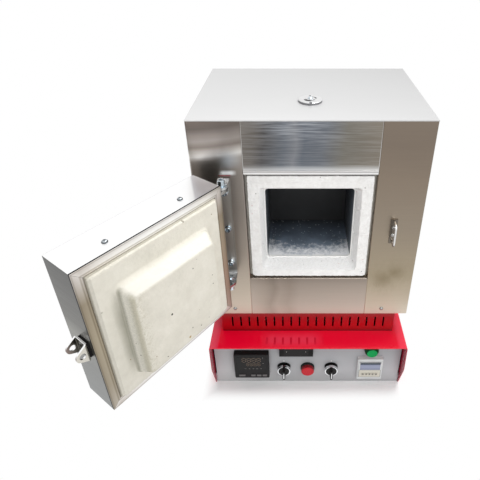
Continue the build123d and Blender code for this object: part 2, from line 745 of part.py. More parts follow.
gland_profile = [(gland_thread, -gland_tail), (gland_thread, 0), (gland_flange[0], 0), gland_flange,
                 (gland_body[0], gland_flange[1] + 1), gland_body, gland_dome, (gland_bore, gland_dome[1]),
                 (gland_bore, -gland_tail)]
gland_section = make_face(Polyline(*gland_profile, close=True))
gland = Rot(-90, 0, 0) * revolve(Plane.XZ * gland_section, Axis.Z)
save(Pos(gland_at[0], rear_plate_y[1], gland_at[1]) * gland, "cable_gland")

upright = (Align.CENTER, Align.CENTER, Align.MIN)
sink_at = (sink_x, body_depth - sink_inset)
fin_pitch = (sink_size[0] - fin_thickness) / (sink_fins - 1)
sink = Pos(0, 0, sink_height) * Box(*sink_size, sink_base, align=upright)
for x in spread(sink_fins, fin_pitch):
    sink += Pos(x, 0, 0) * Box(fin_thickness, sink_size[1], sink_height + 1, align=upright)
save(Pos(*sink_at, tray_sheet) * sink, "relay_heat_sink")
relay = Box(*relay_size, align=upright)
relay = fillet(relay.edges().filter_by(Axis.Z), relay_corner)
for y in spread(2, relay_well[1]):
    well = Cylinder(relay_well[0], relay_size[2], align=upright)
    relay -= Pos(0, y, relay_size[2] - relay_well[2]) * well
save(Pos(*sink_at, tray_sheet + sink_height + sink_base) * relay, "solid_state_relay")

# ---- screws of the casing and base --------------------------------------------------------------
front_screw = pan_screw(*screw_head, screw_radius, casing_sheet)
rear_screw = pan_screw(*screw_head, screw_radius, 2 * casing_sheet)
base_screw = pan_screw(*screw_head, screw_radius, base_sheet)
staple_screw = pan_screw(*staple_screw_head, screw_radius, staple_plate + casing_sheet)
to_front = Rot(90, 0, 0)
to_back = Rot(-90, 0, 0)
screws = [Pos(side * front_screw_x, 0, front_screw_z) * to_front * front_screw for side in (-1, 1)]
screws += [Pos(side * rear_screw_x, body_depth, z) * to_back * rear_screw
           for side in (-1, 1) for z in rear_screw_z]
screws += [Pos(x, rear_plate_y[1], z) * to_back * base_screw for x, z in base_screw_places]
screws += [Pos(staple_x, -staple_plate, z) * to_front * staple_screw for z in staple_screw_z]
save(Compound(children=screws), "casing_screws")

# ---- instruments --------------------------------------------------------------------------------
def key(x, z, width, height, face):
    """Push key whose cap stands proud of an instrument's face."""
    cap = block((x - width / 2, x + width / 2), (face - key_proud, face - key_proud + key_depth),
                (z - height / 2, z + height / 2))
    return fillet(cap.edges().filter_by(Axis.Y), 0.8)


def key_pocket(x, z, width, height, face):
    """Room for a key and its travel."""
    half_x = width / 2 + key_clearance
    half_z = height / 2 + key_clearance
    pocket_floor = face - key_proud + key_depth + key_travel + key_clearance
    return block((x - half_x, x + half_x), (face - 1, pocket_floor), (z - half_z, z + half_z))


def window(x, z, width, height, face):
    """Flat display window let into an instrument's face."""
    front = face - window_proud
    return block((x - width / 2, x + width / 2), (front, front + window_depth),
                 (z - height / 2, z + height / 2))


def window_pocket(x, z, width, height, face):
    """Recess that a window lies in."""
    half_x = width / 2 + window_clearance
    half_z = height / 2 + window_clearance
    floor = face - window_proud + window_depth
    return block((x - half_x, x + half_x), (face - 1, floor), (z - half_z, z + half_z))


controller_face = panel_face - controller_proud
half_controller = controller_size / 2
controller = block((controller_x - half_controller, controller_x + half_controller),
                   (controller_face, panel_face),
                   (controller_z - half_controller, controller_z + half_controller))
controller = fillet(controller.edges().filter_by(Axis.Y), 2.5)
controller = chamfer(controller.faces().sort_by(Axis.Y)[0].edges(), 1.2)
half_body = controller_body / 2
controller += block((controller_x - half_body, controller_x + half_body),
                    (panel_face, panel_face + controller_body_depth),
                    (controller_z - half_body, controller_z + half_body))
controller_glass = (controller_x, controller_z + controller_window_rise, *controller_window)
controller -= window_pocket(*controller_glass, controller_face)
controller_key_z = controller_z - half_controller + controller_key_rise
for number, (offset, width) in enumerate(controller_keys, start=1):
    place = (controller_x + offset, controller_key_z, width, controller_key_height)
    controller -= key_pocket(*place, controller_face)
    save(key(*place, controller_face), f"controller_key_{number}")
save(controller, "controller_case")

meter_face = panel_face - meter_proud
meter_x_span = (meter_x - meter_width / 2, meter_x + meter_width / 2)
meter = block(meter_x_span, (meter_face, panel_face), meter_z)
meter = chamfer(meter.faces().sort_by(Axis.Y)[0].edges(), 0.8)
neck_x = (meter_x_span[0] + meter_neck + hole_clearance, meter_x_span[1] - meter_neck - hole_clearance)
neck_z = (meter_z[0] + meter_neck + hole_clearance, meter_z[1] - meter_neck - hole_clearance)
meter += block(neck_x, (panel_face, panel_face + meter_body_depth), neck_z)
meter_glass = (meter_x, (meter_z[0] + meter_z[1]) / 2, *meter_window)
meter -= window_pocket(*meter_glass, meter_face)
for side in (-1, 1):
    for offset in spread(meter_ribs, meter_rib_pitch):
        rib_x = meter_x + side * (meter_width / 2 - meter_rib_inset)
        rib_z = meter_glass[1] + offset
        rib_span = (rib_x - meter_rib_length / 2, rib_x + meter_rib_length / 2)
        meter -= block(rib_span, (meter_face - 1, meter_face + meter_rib_depth),
                       (rib_z - meter_rib_gap / 2, rib_z + meter_rib_gap / 2))
save(meter, "meter_case")

timer_face = panel_face - timer_proud
half_timer = timer_size / 2
timer = block((timer_x - half_timer, timer_x + half_timer), (timer_face, panel_face),
              (timer_z - half_timer, timer_z + half_timer))
timer = chamfer(timer.faces().sort_by(Axis.Y)[0].edges(), 0.8)
half_timer_body = timer_body / 2
timer += block((timer_x - half_timer_body, timer_x + half_timer_body),
               (panel_face, panel_face + timer_body_depth),
               (timer_z - half_timer_body, timer_z + half_timer_body))
timer_glass = (timer_x, timer_z + timer_window_rise, *timer_window)
timer -= window_pocket(*timer_glass, timer_face)
timer_key_z = timer_z - timer_key_drop
for number, offset in enumerate(spread(timer_keys, timer_key_pitch), start=1):
    place = (timer_x + offset, timer_key_z, *timer_key_size)
    timer -= key_pocket(*place, timer_face)
    save(key(*place, timer_face), f"timer_key_{number}")
save(timer, "timer_case")

frame_half = timer_frame_size[0] / 2
frame_z = (timer_z - timer_frame_size[1] / 2, timer_z + timer_frame_size[1] / 2)
timer_frame = block((timer_x - frame_half, timer_x + frame_half),
                    (panel_face - timer_frame_proud, panel_face), frame_z)
timer_frame = fillet(timer_frame.edges().filter_by(Axis.Y), 1.5)
grown = half_timer + hole_clearance
timer_frame -= block((timer_x - grown, timer_x + grown), (timer_face, panel_face + 1),
                     (timer_z - grown, timer_z + grown))
save(timer_frame, "timer_frame")

windows = [window(*controller_glass, controller_face), window(*meter_glass, meter_face),
           window(*timer_glass, timer_face)]
save(Compound(children=windows), "instrument_windows")

# Selector switches: chrome bezel with a barrel through the panel, and a turning actuator.
bezel_floor = 4.0
bezel_profile = [(selector_shaft_radius + pivot_running_clearance, -device_barrel_depth),
                 (device_barrel_radius, -device_barrel_depth), (device_barrel_radius, 0),
                 (selector_bezel_radius, 0), (selector_bezel_radius, bezel_floor),
                 (selector_bezel_radius - 1.5, selector_proud),
                 (selector_disc_radius + 0.3, selector_proud), (selector_disc_radius + 0.3, bezel_floor),
                 (selector_shaft_radius + pivot_running_clearance, bezel_floor)]
bezel_section = make_face(Polyline(*bezel_profile, close=True))
bezel = revolve(Plane.XZ * bezel_section, Axis.Z)
bezels = [Pos(side * selector_x, panel_face, selector_z) * to_front * bezel for side in (-1, 1)]
save(Compound(children=bezels), "selector_bezels")

bar_length, bar_width, bar_height = selector_bar
disc_face = selector_proud + 1.0
knob = rod("Z", selector_disc_radius, (0, 0), (bezel_floor + 0.3, disc_face))
grip_foot = SlotOverall(bar_length, bar_width, rotation=90)
grip_crest = SlotOverall(bar_length - 2, bar_width - 1.6, rotation=90)
handle = loft([Pos(0, 0, disc_face - 0.5) * grip_foot, Pos(0, 0, disc_face + bar_height) * grip_crest])
knob += Pos(0, -selector_bar_drop, 0) * handle
knob += rod("Z", selector_shaft_radius, (0, 0), (-device_barrel_depth + 2, bezel_floor + 1))
save(Pos(-selector_x, panel_face, selector_z) * to_front * knob, "selector_left_knob")
save(Pos(selector_x, panel_face, selector_z) * to_front * knob, "selector_right_knob")

lamp_floor = 5.0
lamp_bezel = rod("Z", lamp_bezel_radius, (0, 0), (0, lamp_floor))
lamp_bezel = chamfer(lamp_bezel.edges().group_by(Axis.Z)[-1], 0.8)
lamp_bezel += rod("Z", device_barrel_radius, (0, 0), (-device_barrel_depth, 1))
lamp_bezels = [Pos(x, panel_face, z) * to_front * lamp_bezel
               for x, z in ((0, red_lamp_z), (green_lamp_x, green_lamp_z))]
save(Compound(children=lamp_bezels), "lamp_bezels")
red_lens = rod("Z", red_lens_radius, (0, 0), (lamp_floor, lamp_proud))
red_lens = fillet(red_lens.edges().group_by(Axis.Z)[-1], 2.0)
save(Pos(0, panel_face, red_lamp_z) * to_front * red_lens, "red_lamp_lens")
green_profile = [(0, lamp_floor), (green_lens_radius, lamp_floor), (green_lens_radius, lamp_floor + 3),
                 (green_face_radius, lamp_proud - 1), (green_face_radius - 1, lamp_proud), (0, lamp_proud)]
green_lens = revolve(Plane.XZ * make_face(Polyline(*green_profile, close=True)), Axis.Z)
save(Pos(green_lamp_x, panel_face, green_lamp_z) * to_front * green_lens, "green_lamp_lens")

# ---- door, drawn shut ---------------------------------------------------------------------------
door_z = (door_bottom, door_top)
tray_rim = rim_face - door_frame_lip - door_seam
door_tray = block(across(door_half), (door_outer, tray_rim), door_z)
door_tray = fillet(door_tray.faces().sort_by(Axis.Y)[0].edges(), sheet_bend)
door_tray -= block(across(door_half - door_sheet), (door_outer + door_sheet, tray_rim + 1),
                   (door_bottom + door_sheet, door_top - door_sheet))
door_screw_y = rim_face - door_screw_inset
clevis_y = (rim_face - clevis_inset - clevis_width, rim_face - clevis_inset)
clevis_mid_y = (clevis_y[0] + clevis_y[1]) / 2
for x in across(door_screw_x):
    door_tray -= rod("Z", screw_hole, (x, door_screw_y), (door_bottom - 1, door_bottom + door_sheet + 1))
    door_tray -= rod("Z", screw_hole, (x, door_screw_y), (door_top - door_sheet - 1, door_top + 1))
for z in bracket_screw_z:
    door_tray -= rod("X", screw_hole, (pivot_y, z), (-door_half - 1, -door_half + door_sheet + 1))
door_tray -= rod("X", latch_bolt_radius + hole_clearance, (clevis_mid_y, clevis_height_centre),
                 (door_half - door_sheet - 1, door_half + 1))
save(shut_to_rest(door_tray), "door_tray")


def rectangular_ring(inset_outer, inset_inner, y):
    """Picture-frame ring between two insets from the door's outline."""
    outer = block(across(door_half - inset_outer), y, (door_bottom + inset_outer, door_top - inset_outer))
    inner = block(across(door_half - inset_inner), (y[0] - 1, y[1] + 1),
                  (door_bottom + inset_inner, door_top - inset_inner))
    return outer - inner


skirt_inset = door_sheet + board_joint
door_frame = rectangular_ring(0, door_sheet, (rim_face - door_frame_lip, rim_face))
door_frame += rectangular_ring(0, door_frame_width, (rim_face - door_sheet, rim_face))
skirt_y = (rim_face - door_frame_skirt, rim_face - door_sheet / 2)
door_frame += rectangular_ring(skirt_inset, skirt_inset + door_sheet, skirt_y)
save(shut_to_rest(door_frame), "door_frame")

slab_inset = door_frame_width + board_joint
fill_inset = skirt_inset + door_sheet + filling_gap
fill_z = (door_bottom + fill_inset, door_top - fill_inset)
slab_base = (rim_face - slab_back - door_sheet, rim_face - door_sheet)
ceramic = block(across(door_half - fill_inset), slab_base, fill_z)
ceramic += block(across(door_half - slab_inset), (rim_face - slab_back, rim_face + slab_proud - slab_step),
                 (door_bottom + slab_inset, door_top - slab_inset))
raised = block(across(slab_half_width), (rim_face - slab_back, slab_face),
               (opening_centre - slab_half_height, opening_centre + slab_half_height))
ceramic += fillet(raised.edges().filter_by(Axis.Y), 3.0)


def plug_face(size, centre, y):
    outline = Pos(0, centre) * RectangleRounded(*size, plug_corner)
    return Pos(0, y, 0) * (Plane.XZ * outline)


plug_tip = slab_face + plug_height
plug = loft([plug_face(plug_base, plug_centre_base, slab_face),
             plug_face(plug_end, plug_centre_end, plug_tip)])
plug = fillet(plug.faces().sort_by(Axis.Y)[-1].edges(), plug_edge)
ceramic += plug
save(shut_to_rest(ceramic), "door_plug")

fill_y = (door_outer + door_sheet + filling_gap, slab_base[0])
save(shut_to_rest(block(across(door_half - fill_inset), fill_y, fill_z)), "door_insulation")

ear_top = strap_top - door_ear_outer
ear_bottom = strap_bottom + door_ear_outer
ear_far = pivot_x - door_ear_radius - 1
bracket_path = [(ear_far, ear_bottom), (-door_half, ear_bottom), (-door_half, ear_top), (ear_far, ear_top)]
bracket_y = (pivot_y - door_ear_radius, pivot_y + door_ear_radius)
bracket = run_y(folded(bracket_path, strap_sheet, strap_bend), bracket_y)
bracket_reach = -door_half - pivot_x
bracket_plan = Pos((pivot_x - door_half) / 2, pivot_y) * Rectangle(bracket_reach, 2 * door_ear_radius)
bracket_plan += Pos(*pivot_at) * Circle(door_ear_radius)
bracket &= run_z(bracket_plan, (ear_bottom - 1, ear_top + 1))
bracket -= rod("Z", pivot_bolt_radius + pivot_running_clearance, pivot_at, (ear_bottom - 1, ear_top + 1))
for z in bracket_screw_z:
    bracket -= rod("X", screw_hole, (pivot_y, z), (-door_half - strap_sheet - 1, -door_half + 1))
save(shut_to_rest(bracket), "door_hinge_bracket")

top_pan = pan_screw(*door_screw_head, screw_radius, door_sheet)
bottom_pan = Rot(180, 0, 0) * top_pan
bracket_pan = Rot(0, -90, 0) * pan_screw(*bracket_screw_head, screw_radius, strap_sheet + door_sheet)
door_screws = [Pos(x, door_screw_y, door_top) * top_pan for x in across(door_screw_x)]
door_screws += [Pos(x, door_screw_y, door_bottom) * bottom_pan for x in across(door_screw_x)]
door_screws += [Pos(-door_half - strap_sheet, pivot_y, z) * bracket_pan for z in bracket_screw_z]
save(shut_to_rest(Compound(children=door_screws)), "door_screws")

web_x = door_half + clevis_spacer
hole_x = door_half + clevis_hole_out
tip_x = hole_x + clevis_ear_radius
clevis_path = [(tip_x + 1, clevis_y[1]), (web_x, clevis_y[1]), (web_x, clevis_y[0]),
               (tip_x + 1, clevis_y[0])]
clevis_z = (clevis_height_centre - clevis_height / 2, clevis_height_centre + clevis_height / 2)
clevis = run_z(folded(clevis_path, clevis_sheet, 1.0), clevis_z)
ear_outline = make_hull((Pos(web_x + 1, clevis_height_centre) * Rectangle(2, clevis_height)).edges()
                        + (Pos(hole_x, clevis_height_centre) * Circle(clevis_ear_radius)).edges())
clevis &= run_y(ear_outline, (clevis_y[0] - 1, clevis_y[1] + 1))
clevis -= rod("Y", clevis_hole_radius, (hole_x, clevis_height_centre), (clevis_y[0] - 1, clevis_y[1] + 1))
clevis -= rod("X", latch_bolt_radius + hole_clearance, (clevis_mid_y, clevis_height_centre),
              (web_x - 1, web_x + clevis_sheet + 1))
save(shut_to_rest(clevis), "latch_clevis")

spacer = block((door_half, web_x), (clevis_y[0] + 2, clevis_y[1] - 2), (clevis_z[0] + 2, clevis_z[1] - 2))
spacer -= rod("X", latch_bolt_radius + hole_clearance, (clevis_mid_y, clevis_height_centre),
              (door_half - 1, web_x + 1))
save(shut_to_rest(spacer), "latch_spacer")
latch_shank = clevis_sheet + clevis_spacer + door_sheet
latch_bolt = cap_screw(*latch_bolt_head, latch_bolt_radius, latch_shank, *latch_bolt_washer)
latch_bolt = Pos(web_x + clevis_sheet, clevis_mid_y, clevis_height_centre) * Rot(0, 90, 0) * latch_bolt
save(shut_to_rest(latch_bolt), "latch_bolt")
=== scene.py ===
import bpy
import bmesh
from math import radians
from mathutils import Matrix, Vector


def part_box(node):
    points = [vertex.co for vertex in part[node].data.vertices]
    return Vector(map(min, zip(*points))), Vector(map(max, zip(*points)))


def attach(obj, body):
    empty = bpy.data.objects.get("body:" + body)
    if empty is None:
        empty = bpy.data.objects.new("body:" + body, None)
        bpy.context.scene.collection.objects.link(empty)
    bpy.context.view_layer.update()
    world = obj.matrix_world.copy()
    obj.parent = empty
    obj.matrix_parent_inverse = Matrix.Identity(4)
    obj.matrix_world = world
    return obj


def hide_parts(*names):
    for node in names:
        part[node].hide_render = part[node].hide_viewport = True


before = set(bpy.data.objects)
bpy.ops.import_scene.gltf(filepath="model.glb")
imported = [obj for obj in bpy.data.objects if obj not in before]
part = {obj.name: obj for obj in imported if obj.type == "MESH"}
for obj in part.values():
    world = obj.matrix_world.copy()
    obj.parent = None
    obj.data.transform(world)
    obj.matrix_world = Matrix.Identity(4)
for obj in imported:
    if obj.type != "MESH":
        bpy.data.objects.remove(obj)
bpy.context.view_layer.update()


# ---- studio -------------------------------------------------------------------------------------
# A sweep of white paper under a soft overhead light and two fills. The paper and the room both look
# white to the camera and to polished metal, while the lamps keep colours as they are written.
def linear(code):
    """An sRGB hex colour as the linear colour a socket takes."""
    channels = [int(code[i:i + 2], 16) / 255 for i in (1, 3, 5)]
    return tuple(c / 12.92 if c <= 0.04045 else ((c + 0.055) / 1.055) ** 2.4 for c in channels) + (1.0,)


def add_node(tree, kind, sockets=None, ramp=None, **settings):
    """Adds one node with its settings and a ramp's stops. A socket takes a value, a hex colour, another
    node's socket, or another node, of which it takes the first live output."""
    node = tree.nodes.new("ShaderNode" + kind)
    for name, value in settings.items():
        setattr(node, name, value)
    for name, value in (sockets or {}).items():
        if isinstance(value, bpy.types.Node):
            value = next(output for output in value.outputs if output.enabled)
        if isinstance(value, bpy.types.NodeSocket):
            tree.links.new(value, node.inputs[name])
        else:
            node.inputs[name].default_value = linear(value) if isinstance(value, str) else value
    if ramp:
        stops = node.color_ramp.elements
        while len(stops) < len(ramp):
            stops.new(1.0)
        for stop, (place, code) in zip(stops, ramp):
            stop.position = place
            stop.color = linear(code)
    return node


def new_finish(name):
    """An empty material and its node tree."""
    finish = bpy.data.materials.new(name)
    finish.use_nodes = True
    finish.node_tree.nodes.clear()
    return finish, finish.node_tree


base_half_width = 0.197
base_half_depth = 0.162
base_middle = 0.118
paper, tree = new_finish("white_sweep_paper")
# the paper keeps the shadow close round the base, and fades to plain white beyond it
where = add_node(tree, "TexCoord")
spot = add_node(tree, "SeparateXYZ", {0: where.outputs["Object"]})
beside = add_node(tree, "Math", {0: spot.outputs[0]}, operation="ABSOLUTE")
beside = add_node(tree, "Math", {0: beside, 1: base_half_width}, operation="SUBTRACT")
along = add_node(tree, "Math", {0: spot.outputs[1], 1: base_middle}, operation="SUBTRACT")
along = add_node(tree, "Math", {0: along}, operation="ABSOLUTE")
along = add_node(tree, "Math", {0: along, 1: base_half_depth}, operation="SUBTRACT")
out = add_node(tree, "Math", {0: beside, 1: along}, operation="MAXIMUM")
far = add_node(tree, "MapRange", {
    "Value": out, "From Min": -0.01, "From Max": 0.026, "To Min": 0.0, "To Max": 1.0},
    interpolation_type="SMOOTHSTEP")
path = add_node(tree, "LightPath")
seen = add_node(tree, "Math", {0: path.outputs["Is Camera Ray"], 1: path.outputs["Is Glossy Ray"]},
    operation="MAXIMUM")
seen = add_node(tree, "Math", {0: seen, 1: path.outputs["Is Transmission Ray"]}, operation="MAXIMUM")
share = add_node(tree, "Math", {0: seen, 1: far}, operation="MULTIPLY")
lit = add_node(tree, "BsdfDiffuse", {"Color": "#FFFFFF"})
glow = add_node(tree, "Emission", {"Color": "#FFFFFF", "Strength": 1.0})
surface = add_node(tree, "MixShader", {0: share, 1: lit, 2: glow})
add_node(tree, "OutputMaterial", {"Surface": surface})
floor = bpy.data.objects.new("paper_floor", bpy.data.meshes.new("paper_floor"))
mesh = bmesh.new()
bmesh.ops.create_grid(mesh, x_segments=1, y_segments=1, size=8.0)
mesh.to_mesh(floor.data)
mesh.free()
floor.data.materials.append(paper)
bpy.context.scene.collection.objects.link(floor)

world = bpy.data.worlds.new("white_room")
bpy.context.scene.world = world
world.use_nodes = True
tree = world.node_tree
tree.nodes.clear()
path = add_node(tree, "LightPath")
seen = add_node(tree, "Math", {0: path.outputs["Is Camera Ray"], 1: path.outputs["Is Glossy Ray"]},
    operation="MAXIMUM")
seen = add_node(tree, "Math", {0: seen, 1: path.outputs["Is Transmission Ray"]}, operation="MAXIMUM")
level = add_node(tree, "MapRange", {"Value": seen, "To Min": 0.56, "To Max": 1.0})
glow = add_node(tree, "Background", {"Color": "#FFFFFF", "Strength": level})
add_node(tree, "OutputWorld", {"Surface": glow})

for name, place, size, power in (("overhead_softbox", (0.55, 0.25, 2.0), 0.9, 17.0),
                                 ("front_softbox", (0.9, -1.5, 1.6), 1.4, 14.0)):
    lamp = bpy.data.lights.new(name, "AREA")
    lamp.shape = "DISK"
    lamp.size = size
    lamp.energy = power
    stand = bpy.data.objects.new(name, lamp)
    bpy.context.scene.collection.objects.link(stand)
    stand.location = place
    stand.rotation_euler = (Vector((0, 0.1, 0.3)) - Vector(place)).to_track_quat("-Z", "Y").to_euler()

snoot = bpy.data.lights.new("throat_spot", "SPOT")
snoot.energy = 32.0
snoot.spot_size = radians(15.0)
snoot.spot_blend = 1.0
snoot.shadow_soft_size = 0.15
stand = bpy.data.objects.new("throat_spot", snoot)
bpy.context.scene.collection.objects.link(stand)
stand.location = (-0.36, -0.92, 1.36)
stand.rotation_euler = (Vector((0.0, 0.01, 0.34)) - stand.location).to_track_quat("-Z", "Y").to_euler()

lens = bpy.data.cameras.new("camera")
lens.lens = 33.509
lens.sensor_width = 36.0
lens.shift_x = -0.1160
lens.shift_y = -0.1213
lens.clip_start = 0.02
camera = bpy.data.objects.new("camera", lens)
camera.location = (-0.0250, -0.6414, 0.8638)
camera.rotation_euler = (radians(59.72), 0.0, 0.0)
bpy.context.scene.collection.objects.link(camera)
bpy.context.scene.camera = camera
bpy.context.scene.view_settings.view_transform = "Standard"


# ---- casing panels ------------------------------------------------------------------------------
# Stainless steel sheet, 1.2 mm, brushed along its length at the mill and folded on a press brake. The grain
# pulls reflections out into soft bands, here painted reflections of the room in taupe to beige tones.
casing_foot = 0.1835
casing_top = 0.5985
casing_half = 0.1975
casing_depth = 0.28
seam = 0.111
# the door stands open by this much about its hinge
door_turn = radians(-126.0)
hinge = Vector((-0.1435, -0.030, 0.0))
door_shift = hinge - Matrix.Rotation(door_turn, 3, "Z") @ hinge


def dress(finish, *nodes):
    """Gives the named CAD pieces a material."""
    for node in nodes:
        for holder in part[node].material_slots:
            holder.material = finish


def place_on(tree, shut=False):
    """Place and outward direction on a piece; for the door's pieces, as they are when it is shut."""
    where = add_node(tree, "TexCoord")
    if not shut:
        return where.outputs["Object"], where.outputs["Normal"]
    place = add_node(tree, "Mapping", {
        "Vector": where.outputs["Object"], "Location": door_shift, "Rotation": (0.0, 0.0, door_turn)},
        vector_type="TEXTURE")
    facing = add_node(tree, "Mapping", {
        "Vector": where.outputs["Normal"], "Rotation": (0.0, 0.0, door_turn)}, vector_type="TEXTURE")
    return place, facing


def within(tree, value, centre, half, soft):
    """One inside a band about a centre, none outside, with a soft edge."""
    gap = add_node(tree, "Math", {0: value, 1: centre}, operation="SUBTRACT")
    gap = add_node(tree, "Math", {0: gap}, operation="ABSOLUTE")
    return add_node(tree, "MapRange", {"Value": gap, "From Min": half + soft, "From Max": half - soft})


def coat_with(tree, tone, rough, height, strength, metallic=0.0, distance=0.0004, **extra):
    """Closes a material: one principled surface with its bump."""
    relief = add_node(tree, "Bump", {"Height": height, "Strength": strength, "Distance": distance})
    sockets = {"Base Color": tone, "Roughness": rough, "Metallic": metallic, "Normal": relief}
    sockets.update({name.replace("_", " "): value for name, value in extra.items()})
    surface = add_node(tree, "BsdfPrincipled", sockets)
    add_node(tree, "OutputMaterial", {"Surface": surface})


def brushed_stainless(name, paint, grain="Z", streaks=0.04, rough=0.34, shut=False, mirror=1.0):
    """Brushed stainless sheet. paint lays its tones as painted reflections; the grain runs level across the
    grain axis.
    """
    finish, tree = new_finish(name)
    place, facing = place_on(tree, shut)
    # a slow drift, long along the grain, bends the painted reflection bands as a rolled sheet does
    drift = add_node(tree, "VectorMath", {0: place, 1: (5.0, 5.0, 11.0)}, operation="MULTIPLY")
    drift = add_node(tree, "TexNoise", {"Vector": drift, "Scale": 1.0, "Detail": 3.0})
    drift = add_node(tree, "MapRange", {
        "Value": drift, "From Min": 0.3, "From Max": 0.7, "To Min": -0.010, "To Max": 0.010})
    at = add_node(tree, "SeparateXYZ", {0: place}).outputs
    tone = paint(tree, at, add_node(tree, "SeparateXYZ", {0: facing}).outputs, drift)
    # grain lines: really 0.1 to 0.3 mm apart, drawn about 1.5 mm apart so that they show
    fine = {"Y": (9.0, 650.0, 9.0), "Z": (9.0, 9.0, 650.0)}[grain]
    lines = add_node(tree, "VectorMath", {0: place, 1: fine}, operation="MULTIPLY")
    lines = add_node(tree, "TexNoise", {"Vector": lines, "Scale": 1.0, "Detail": 4.0, "Roughness": 0.65})
    shade = add_node(tree, "MapRange", {
        "Value": lines, "From Min": 0.3, "From Max": 0.7, "To Min": 1.0 - streaks,
        "To Max": 1.0 + streaks})
    tone = add_node(tree, "Mix", {0: 1.0, 6: tone, 7: shade}, data_type="RGBA", blend_type="MULTIPLY")
    matt = add_node(tree, "MapRange", {
        "Value": lines, "From Min": 0.0, "From Max": 1.0, "To Min": rough - 0.08, "To Max": rough + 0.08})
    coat_with(tree, tone, matt, lines, strength=0.12, metallic=mirror)
    return finish


def paint_lid(tree, at, facing, drift):
    # the lid's tones, darker to the right and to the back, are painted reflections of the room
    along = add_node(tree, "MapRange", {"Value": at[0], "From Min": -casing_half, "From Max": casing_half})
    along = add_node(tree, "ValToRGB", {0: along}, ramp=[
        (0.0, "#DADADA"), (0.5, "#D0D0D0"), (1.0, "#C4C4C4")])
    front = add_node(tree, "MapRange", {"Value": at[1], "From Min": 0.0, "From Max": casing_depth})
    front = add_node(tree, "ValToRGB", {0: front}, ramp=[
        (0.0, "#FFFFFF"), (0.3, "#FAFAFA"), (1.0, "#F1F1F1")])
    return add_node(tree, "Mix", {0: 1.0, 6: along, 7: front}, data_type="RGBA", blend_type="MULTIPLY")


def paint_right_side(tree, at, facing, drift):
    # the sheet's tones, pale at its foot and darker towards the top, are painted reflections of the room
    tone = add_node(tree, "Math", {0: at[2], 1: drift}, operation="ADD")
    tone = add_node(tree, "MapRange", {"Value": tone, "From Min": casing_foot, "From Max": casing_top})
    tone = add_node(tree, "ValToRGB", {0: tone}, ramp=[
        (0.0, "#DACFBE"), (0.10, "#C6B8A5"), (0.24, "#AA9D87"), (0.5, "#978B7C"), (0.75, "#8C7F71"),
        (0.9, "#82766A"), (1.0, "#84786C")])
    # a heat and water stain low on the column, olive brown, with a cloudy edge
    place = add_node(tree, "CombineXYZ", {0: at[0], 1: at[1], 2: at[2]})
    flat = add_node(tree, "CombineXYZ", {0: at[0], 2: at[2]})
    low = add_node(tree, "VectorMath", {0: flat, 1: (0.1405, 0.0, 0.275)}, operation="DISTANCE")
    high = add_node(tree, "VectorMath", {0: flat, 1: (0.1620, 0.0, 0.290)}, operation="DISTANCE")
    reach = add_node(tree, "Math", {0: high, 1: 0.003}, operation="ADD")
    reach = add_node(tree, "Math", {0: low, 1: reach}, operation="MINIMUM")
    cloud = add_node(tree, "VectorMath", {0: place, 1: (120.0, 120.0, 60.0)}, operation="MULTIPLY")
    cloud = add_node(tree, "TexNoise", {"Vector": cloud, "Scale": 1.0, "Detail": 5.0, "Roughness": 0.65})
    stain = add_node(tree, "MapRange", {
        "Value": cloud, "From Min": 0.3, "From Max": 0.7, "To Min": -0.012, "To Max": 0.012})
    stain = add_node(tree, "Math", {0: reach, 1: stain}, operation="ADD")
    stain = add_node(tree, "MapRange", {"Value": stain, "From Min": 0.024, "From Max": 0.000})
    haze = add_node(tree, "MapRange", {
        "Value": reach, "From Min": 0.048, "From Max": 0.006, "To Min": 0.0, "To Max": 0.30})
    amount = add_node(tree, "MapRange", {"Value": cloud, "From Min": 0.35, "From Max": 0.6})
    amount = add_node(tree, "Math", {0: haze, 1: amount}, operation="MULTIPLY")
    tone = add_node(tree, "Mix", {0: amount, 6: tone, 7: "#7F735A"}, data_type="RGBA")
    amount = add_node(tree, "Math", {0: stain, 1: 0.48}, operation="MULTIPLY")
    return add_node(tree, "Mix", {0: amount, 6: tone, 7: "#75684A"}, data_type="RGBA")


